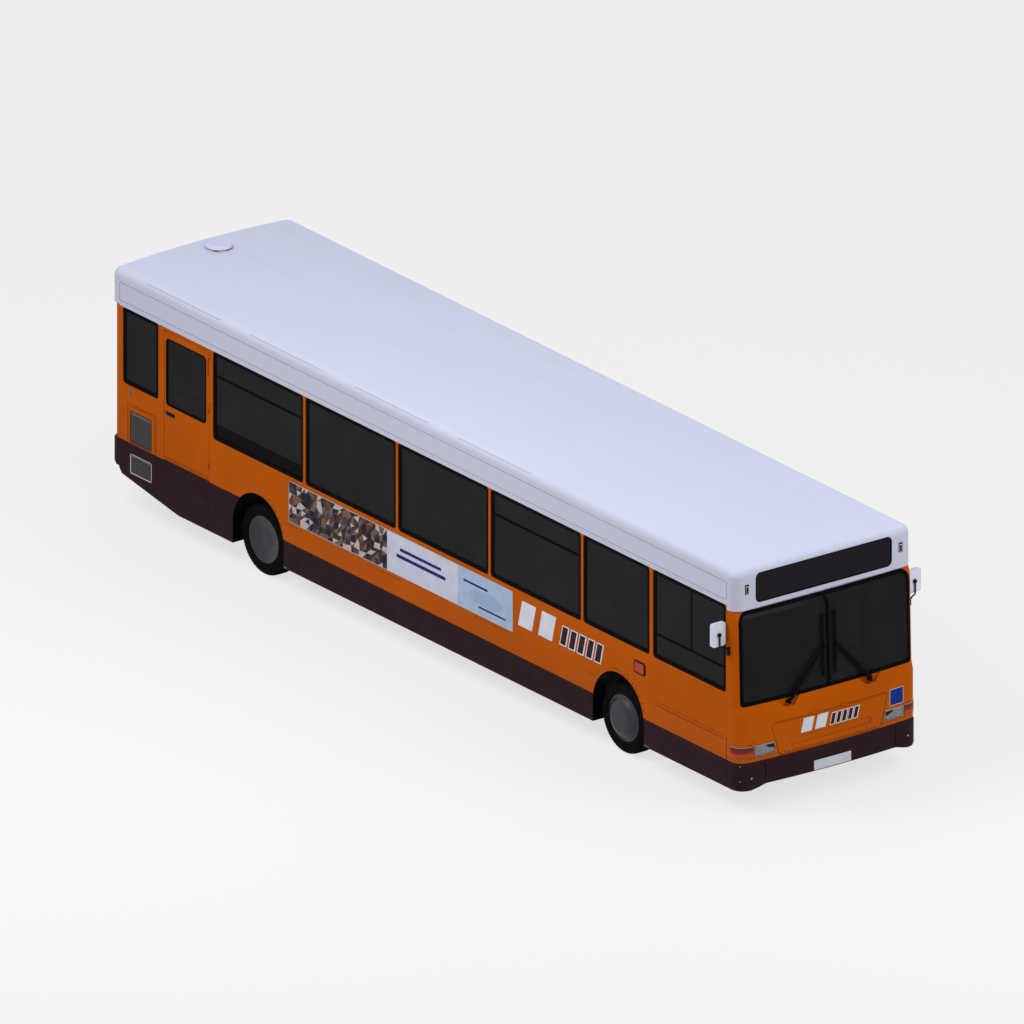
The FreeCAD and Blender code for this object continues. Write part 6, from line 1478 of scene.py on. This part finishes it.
    def flap_locks(self):
        """Two locks and the broken edges of the front flap."""
        skin = Skin("front", "front_flap")
        shape = Shape()
        for sign in MIRRORED:
            shape.turned([(-0.001, 0.012), (0.003, 0.012), (0.004, 0.010)],
                         skin.meet(sign * 0.60, 0.612), (1, 0, 0), "nut", 20)
        skin.dashes(shape, (-0.62, 0.592), (0.62, 0.592), 0.007, "band", *SHORT_DASHES)
        skin.dashes(shape, (-0.70, 0.937), (0.70, 0.937), 0.004, "seam")
        shape.piece("flap_locks", "front_flap", "body_orange")

    def cover_louvres(self):
        """The engine cover's two catches and seven louvres."""
        skin = Skin("rear", "engine_cover")
        shape = Shape()
        for sign in MIRRORED:
            y, z = sign * 0.62, 0.90
            x = skin.meet(y, z).x
            shape.slab("X", (x + 0.004, x - 0.005),
                       rounded(y - 0.035, y + 0.035, z - 0.025, z + 0.025, 0.010, 3), "black")
            shape.turned([(-0.001, 0.014), (0.004, 0.013)], (x - 0.004, y, z), (-1, 0, 0), "nut",
                         20)
        reach, steps = 0.445, 8
        for count in range(7):
            z = 0.976 + 0.042 * count
            rings = []
            for step in range(steps + 1):
                y = reach * (2 * step / steps - 1)
                x = skin.meet(y, z + 0.010).x
                rings.append([(x + depth, y, z + rise) for depth, rise in
                              ((0.002, 0), (-0.009, -0.009), (-0.0095, -0.007), (0.002, 0.008))])
            shape.rings(rings, "paint")
        shape.piece("cover_louvres", "engine_cover", "body_orange", 0.0006)

    def rear_seams(self):
        """Seams and screws of the rear panel."""
        skin = skin_of("rear")
        shape = Shape()
        for sign in MIRRORED:
            y = sign * 0.80
            skin.dashes(shape, (y, 0.84), (y, 1.50), 0.004, "seam", *LONG_DASHES)
            skin.screws(shape, [(sign * 0.835, z) for z in (0.86, 1.05, 1.24, 1.43)], 0.006,
                        "screw")
        skin.dashes(shape, (-1.10, 2.395), (1.10, 2.395), 0.005, "roof_seam", *LONG_DASHES)
        skin.line(shape, [(-1.08, 0.80), (1.08, 0.80)], 0.004, "lamp_edge")
        shape.piece("rear_seams", "coach", "body_orange")

    def vent_base(self):
        """Orange primer that shows under the lip of the roof vent."""
        low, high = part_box("roof_vent")
        x, y, _ = middle("roof_vent")
        radius = (high[0] - low[0]) / 2 + 0.001
        section = ((-0.006, 0.004), (0.003, 0.004), (0.001, 0.012), (-0.006, 0.012))
        shape = Shape()
        for start, end in ((-60, -36), (-2, 8), (20, 24), (30, 33)):
            rings = []
            for step in range(7):
                way = math.radians(start + (end - start) * step / 6)
                rings.append([(x + (radius + reach) * math.cos(way),
                               y + (radius + reach) * math.sin(way), low[2] + rise)
                              for reach, rise in section])
            shape.rings(rings, "paint")
        shape.piece("vent_primer", "coach", "roof_white")

    def engine_trim(self):
        """Sump flange with its bolts, a drain plug and ribs on the engine block."""
        low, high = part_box("engine")
        shape = Shape()
        flange = low[2] + 0.10
        shape.box((low[0] - 0.004, low[1] - 0.005, flange),
                  (high[0] + 0.005, high[1] + 0.005, flange + 0.012), "casting")
        for count in range(7):
            y = low[1] + 0.05 + (high[1] - low[1] - 0.10) * count / 6
            shape.screw((low[0] - 0.004, y, flange + 0.006), (-1, 0, 0), 0.007, "nut", 6)
            shape.box((low[0] - 0.004, y - 0.006, flange + 0.03),
                      (low[0] + 0.002, y + 0.006, flange + 0.13), "casting")
        for count in range(9):
            x = low[0] + 0.06 + (high[0] - low[0] - 0.12) * count / 8
            for y in (low[1] - 0.004, high[1] + 0.004):
                near, far = sorted((y, y * 0.98))
                shape.box((x - 0.006, near, flange - 0.075), (x + 0.006, far, flange - 0.005),
                          "casting")
        shape.turned([(-0.002, 0.020), (0.010, 0.020), (0.012, 0.017)],
                     (low[0] + 0.15, 0, low[2]), (0, 0, -1), "nut", 6)
        shape.piece("engine_trim", "coach", "cast_metal", 0.001)


# Seats, poles, arch linings and the driver's desk

class BUS_OT_interior(Operator):
    """Padded seats on moulded shells, pole clamps, arch linings and instruments"""
    bl_idname = "citybus.interior"
    bl_label = "Interior"

    def execute(self, context):
        self.seats()
        self.clamps()
        self.linings()
        self.desk()
        return DONE

    def pad(self, name, wide, deep, thick):
        """One crowned pad, puffed up by a short cloth simulation that may move it 10 mm."""
        grid = bmesh.new()
        bmesh.ops.create_cube(grid, size=1)
        bmesh.ops.subdivide_edges(grid, edges=grid.edges[:], cuts=6, use_grid_fill=True)
        for vertex in grid.verts:
            x, y, z = vertex.co * 2
            pull = 1 - 0.05 * (1 - x * x) * abs(y) - 0.05 * (1 - y * y) * abs(x)
            corner = 1 - 0.10 * (x * x * y * y)
            vertex.co = Vector((x * deep / 2 * corner * pull, y * wide / 2 * corner * pull,
                                z * thick / 2 * (1 - 0.35 * max(x ** 4, y ** 4))))
        mesh = bpy.data.meshes.new(name)
        grid.to_mesh(mesh)
        grid.free()
        made = placed(name, mesh)
        before = [vertex.co.copy() for vertex in mesh.vertices]
        self.puff(made)
        most = 0.010
        for vertex, start in zip(made.data.vertices, before):
            moved = vertex.co - start
            if moved.length > most:
                vertex.co = start + moved.normalized() * most
            vertex.co.z = max(vertex.co.z, -thick / 2)
        return made

    def puff(self, made):
        """Runs the cloth pressure and keeps its result as the mesh."""
        scene = bpy.context.scene
        cloth = made.modifiers.new("puff", "CLOTH")
        cloth.settings.use_pressure = True
        cloth.settings.uniform_pressure_force = 4
        cloth.settings.effector_weights.gravity = 0
        cloth.settings.quality = 6
        for step in range(1, 21):
            scene.frame_set(step)
        graph = bpy.context.evaluated_depsgraph_get()
        shaped = bpy.data.meshes.new_from_object(made.evaluated_get(graph))
        made.modifiers.clear()
        made.data = shaped
        scene.frame_set(1)

    def seats(self):
        """Every seat: a moulded shell and pedestal, with its pads lying on it."""
        bottom = self.pad("cushion_pattern", 0.395, 0.345, 0.058)
        upright = self.pad("back_pattern", 0.395, 0.445, 0.046)
        shells, cushions, backs = Shape(), Shape(), Shape()
        lean = math.atan2(0.05, 0.63)
        for low, high in islands("seats"):
            floor, heel = low.z, low.x + 0.081
            places = max(1, round((high.y - low.y) / 0.44))
            pitch = (high.y - low.y) / places
            self.shell(shells, low.y + 0.004, high.y - 0.004, floor, heel)
            squeeze = Matrix.Diagonal((1, min(1, (pitch - 0.018) / 0.40), 1, 1))
            for count in range(places):
                y = low.y + pitch * (count + 0.5)
                for shape, pattern, ahead, rise, tilt in (
                        (cushions, bottom, 0.253, 0.398, math.radians(-3)),
                        (backs, upright, 0.012, 0.700, math.radians(90) - lean)):
                    lay = Matrix.Translation((heel + ahead, y, floor + rise))
                    lay = lay @ Matrix.Rotation(tilt, 4, "Y") @ squeeze
                    shape.add([lay @ vertex.co for vertex in pattern.data.vertices],
                              [tuple(face.vertices) for face in pattern.data.polygons], "cloth")
        for pattern in (bottom, upright):
            bpy.data.objects.remove(pattern)
        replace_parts(shells.piece("seat_shells", "coach", "seat_fabric", 0.004), "seats")
        for shape, name in ((cushions, "seat_cushions"), (backs, "seat_back_pads")):
            made = shape.piece(name, "coach", "seat_fabric", smooth=80)
            soften = made.modifiers.new("soften", "SUBSURF")
            soften.levels = soften.render_levels = 1

    def shell(self, shape, y0, y1, floor, heel):
        """A moulded shell under the pads, with a hollow pedestal and a grab bar."""
        seat = 0.350
        outline = [(heel + a, floor + b) for a, b in (
            (0.425, seat + 0.012), (0.430, seat + 0.030), (0.415, seat + 0.034),
            (0.060, seat + 0.022), (0.028, seat + 0.060), (-0.044, 0.955), (-0.056, 0.978),
            (-0.074, 0.978), (-0.079, 0.955), (-0.006, seat + 0.030), (0.010, seat + 0.004),
            (0.040, seat))]
        shape.slab("Y", (y0, y1), outline, "seat_shell")
        inset, leg_width = 0.06 if y1 - y0 < 1 else 0.02, 0.045
        leg = [(heel + a, floor + b) for a, b in ((0.155, 0), (0.255, 0), (0.235, seat + 0.002),
                                                  (0.165, seat + 0.002))]
        for near in (y0 + inset, y1 - inset - leg_width):
            shape.slab("Y", (near, near + leg_width), leg, "nut")
        shape.box((heel + 0.170, y0 + inset, floor + seat - 0.030),
                  (heel + 0.230, y1 - inset, floor + seat + 0.002), "nut")
        shape.turned([(y0 + 0.05, 0.011), (y1 - 0.05, 0.011)], (heel - 0.070, 0, floor + 0.962),
                     (0, 1, 0), "pole", 16)

    def clamps(self):
        """A flange at the foot, a collar and a bell push on each upright grab pole."""
        shape = Shape()
        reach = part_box("grab_poles")[1][1] - 0.017
        up, pole = (0, 0, 1), 0.017
        for x, floor in row(2.76, -1.44, 4, 0.34) + [(-2.6, 0.74), (-3.56, 0.74)]:
            for y in (reach, -reach):
                shape.lathe([(0.0005, pole), (0.0005, 0.038), (0.006, 0.038), (0.012, 0.024),
                             (0.030, 0.0225), (0.030, pole)], (x, y, floor), up, "nut", 24)
                shape.lathe([(-0.032, pole), (-0.032, 0.0235), (0.032, 0.0235), (0.032, pole)],
                            (x, y, 1.42), up, "nut", 24)
                shape.box((x + 0.016, y - 0.022, 1.40), (x + 0.048, y + 0.022, 1.45),
                          "release_red")
        shape.piece("pole_fittings", "coach", "pole_metal", 0.001)

    def linings(self):
        """Dark linings inside the four wheel arches."""
        shape = Shape()
        near, far, outer, foot = 0.452, 0.456, 1.1985, 0.245
        ways = [math.pi * step / 32 for step in range(33)]
        drop = (foot - ARCH_CENTRE) / near
        arch = [(-1, drop), *((-math.cos(way), math.sin(way)) for way in ways), (1, drop)]
        for sign in SIDES.values():
            for node, inner in zip(ARCHES, (1.04, 0.60)):
                x = middle(node).x
                shape.rings([[(x + across * radius, sign * y, ARCH_CENTRE + up * radius)
                              for radius, y in ((near, outer), (near, inner), (far, inner),
                                                (far, outer))] for across, up in arch], "band")
        shape.piece("arch_linings", "coach", "dark_plastic")

    def desk(self):
        """The instruments' hood and three dials at the driver's desk."""
        shape = Shape()
        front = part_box("cab_desk")[1][0]
        hood = [(front - a, z) for a, z in ((0.32, 1.015), (0.30, 1.075), (0.20, 1.115),
                                            (0.14, 1.10), (0.16, 1.06))]
        shape.slab("Y", (-0.80, -0.46), hood, "black")
        for y in (-0.71, -0.63, -0.55):
            shape.turned([(-0.004, 0.030), (0.003, 0.030), (0.003, 0.026), (0.001, 0.0255)],
                         (front - 0.306, y, 1.050), (-0.95, 0, 0.3), "nut", 24)
        shape.piece("desk_fittings", "coach", "dark_plastic", 0.003)


OPERATORS = (BUS_OT_stage, BUS_OT_finishes, BUS_OT_livery, BUS_OT_seams, BUS_OT_windows,
             BUS_OT_wheels, BUS_OT_lamps, BUS_OT_fittings, BUS_OT_interior)
GROUPS = {"bus_colours": BusColours, "bus_stage": BusStage, "bus_sizes": BusSizes}


class BUS_PT_panel(Panel):
    """The bus's operators, sizes and colours"""
    bl_idname = "BUS_PT_panel"
    bl_label = "City Bus"
    bl_space_type = "VIEW_3D"
    bl_region_type = "UI"
    bl_category = "City Bus"

    def draw(self, context):
        for operator in OPERATORS:
            self.layout.operator(operator.bl_idname)
        for name, group in GROUPS.items():
            box = self.layout.box()
            for prop in group.__annotations__:
                box.prop(getattr(context.scene, name), prop)


CLASSES = (*GROUPS.values(), *OPERATORS, BUS_PT_panel)


def register():
    for item in CLASSES:
        bpy.utils.register_class(item)
    for name, group in GROUPS.items():
        setattr(bpy.types.Scene, name, PointerProperty(type=group))


def unregister():
    for name in GROUPS:
        delattr(bpy.types.Scene, name)
    for item in reversed(CLASSES):
        bpy.utils.unregister_class(item)


def main():
    register()
    for operator in OPERATORS:
        _, action = operator.bl_idname.split(".")
        getattr(bpy.ops.citybus, action)()


if __name__ == "__main__":
    main()
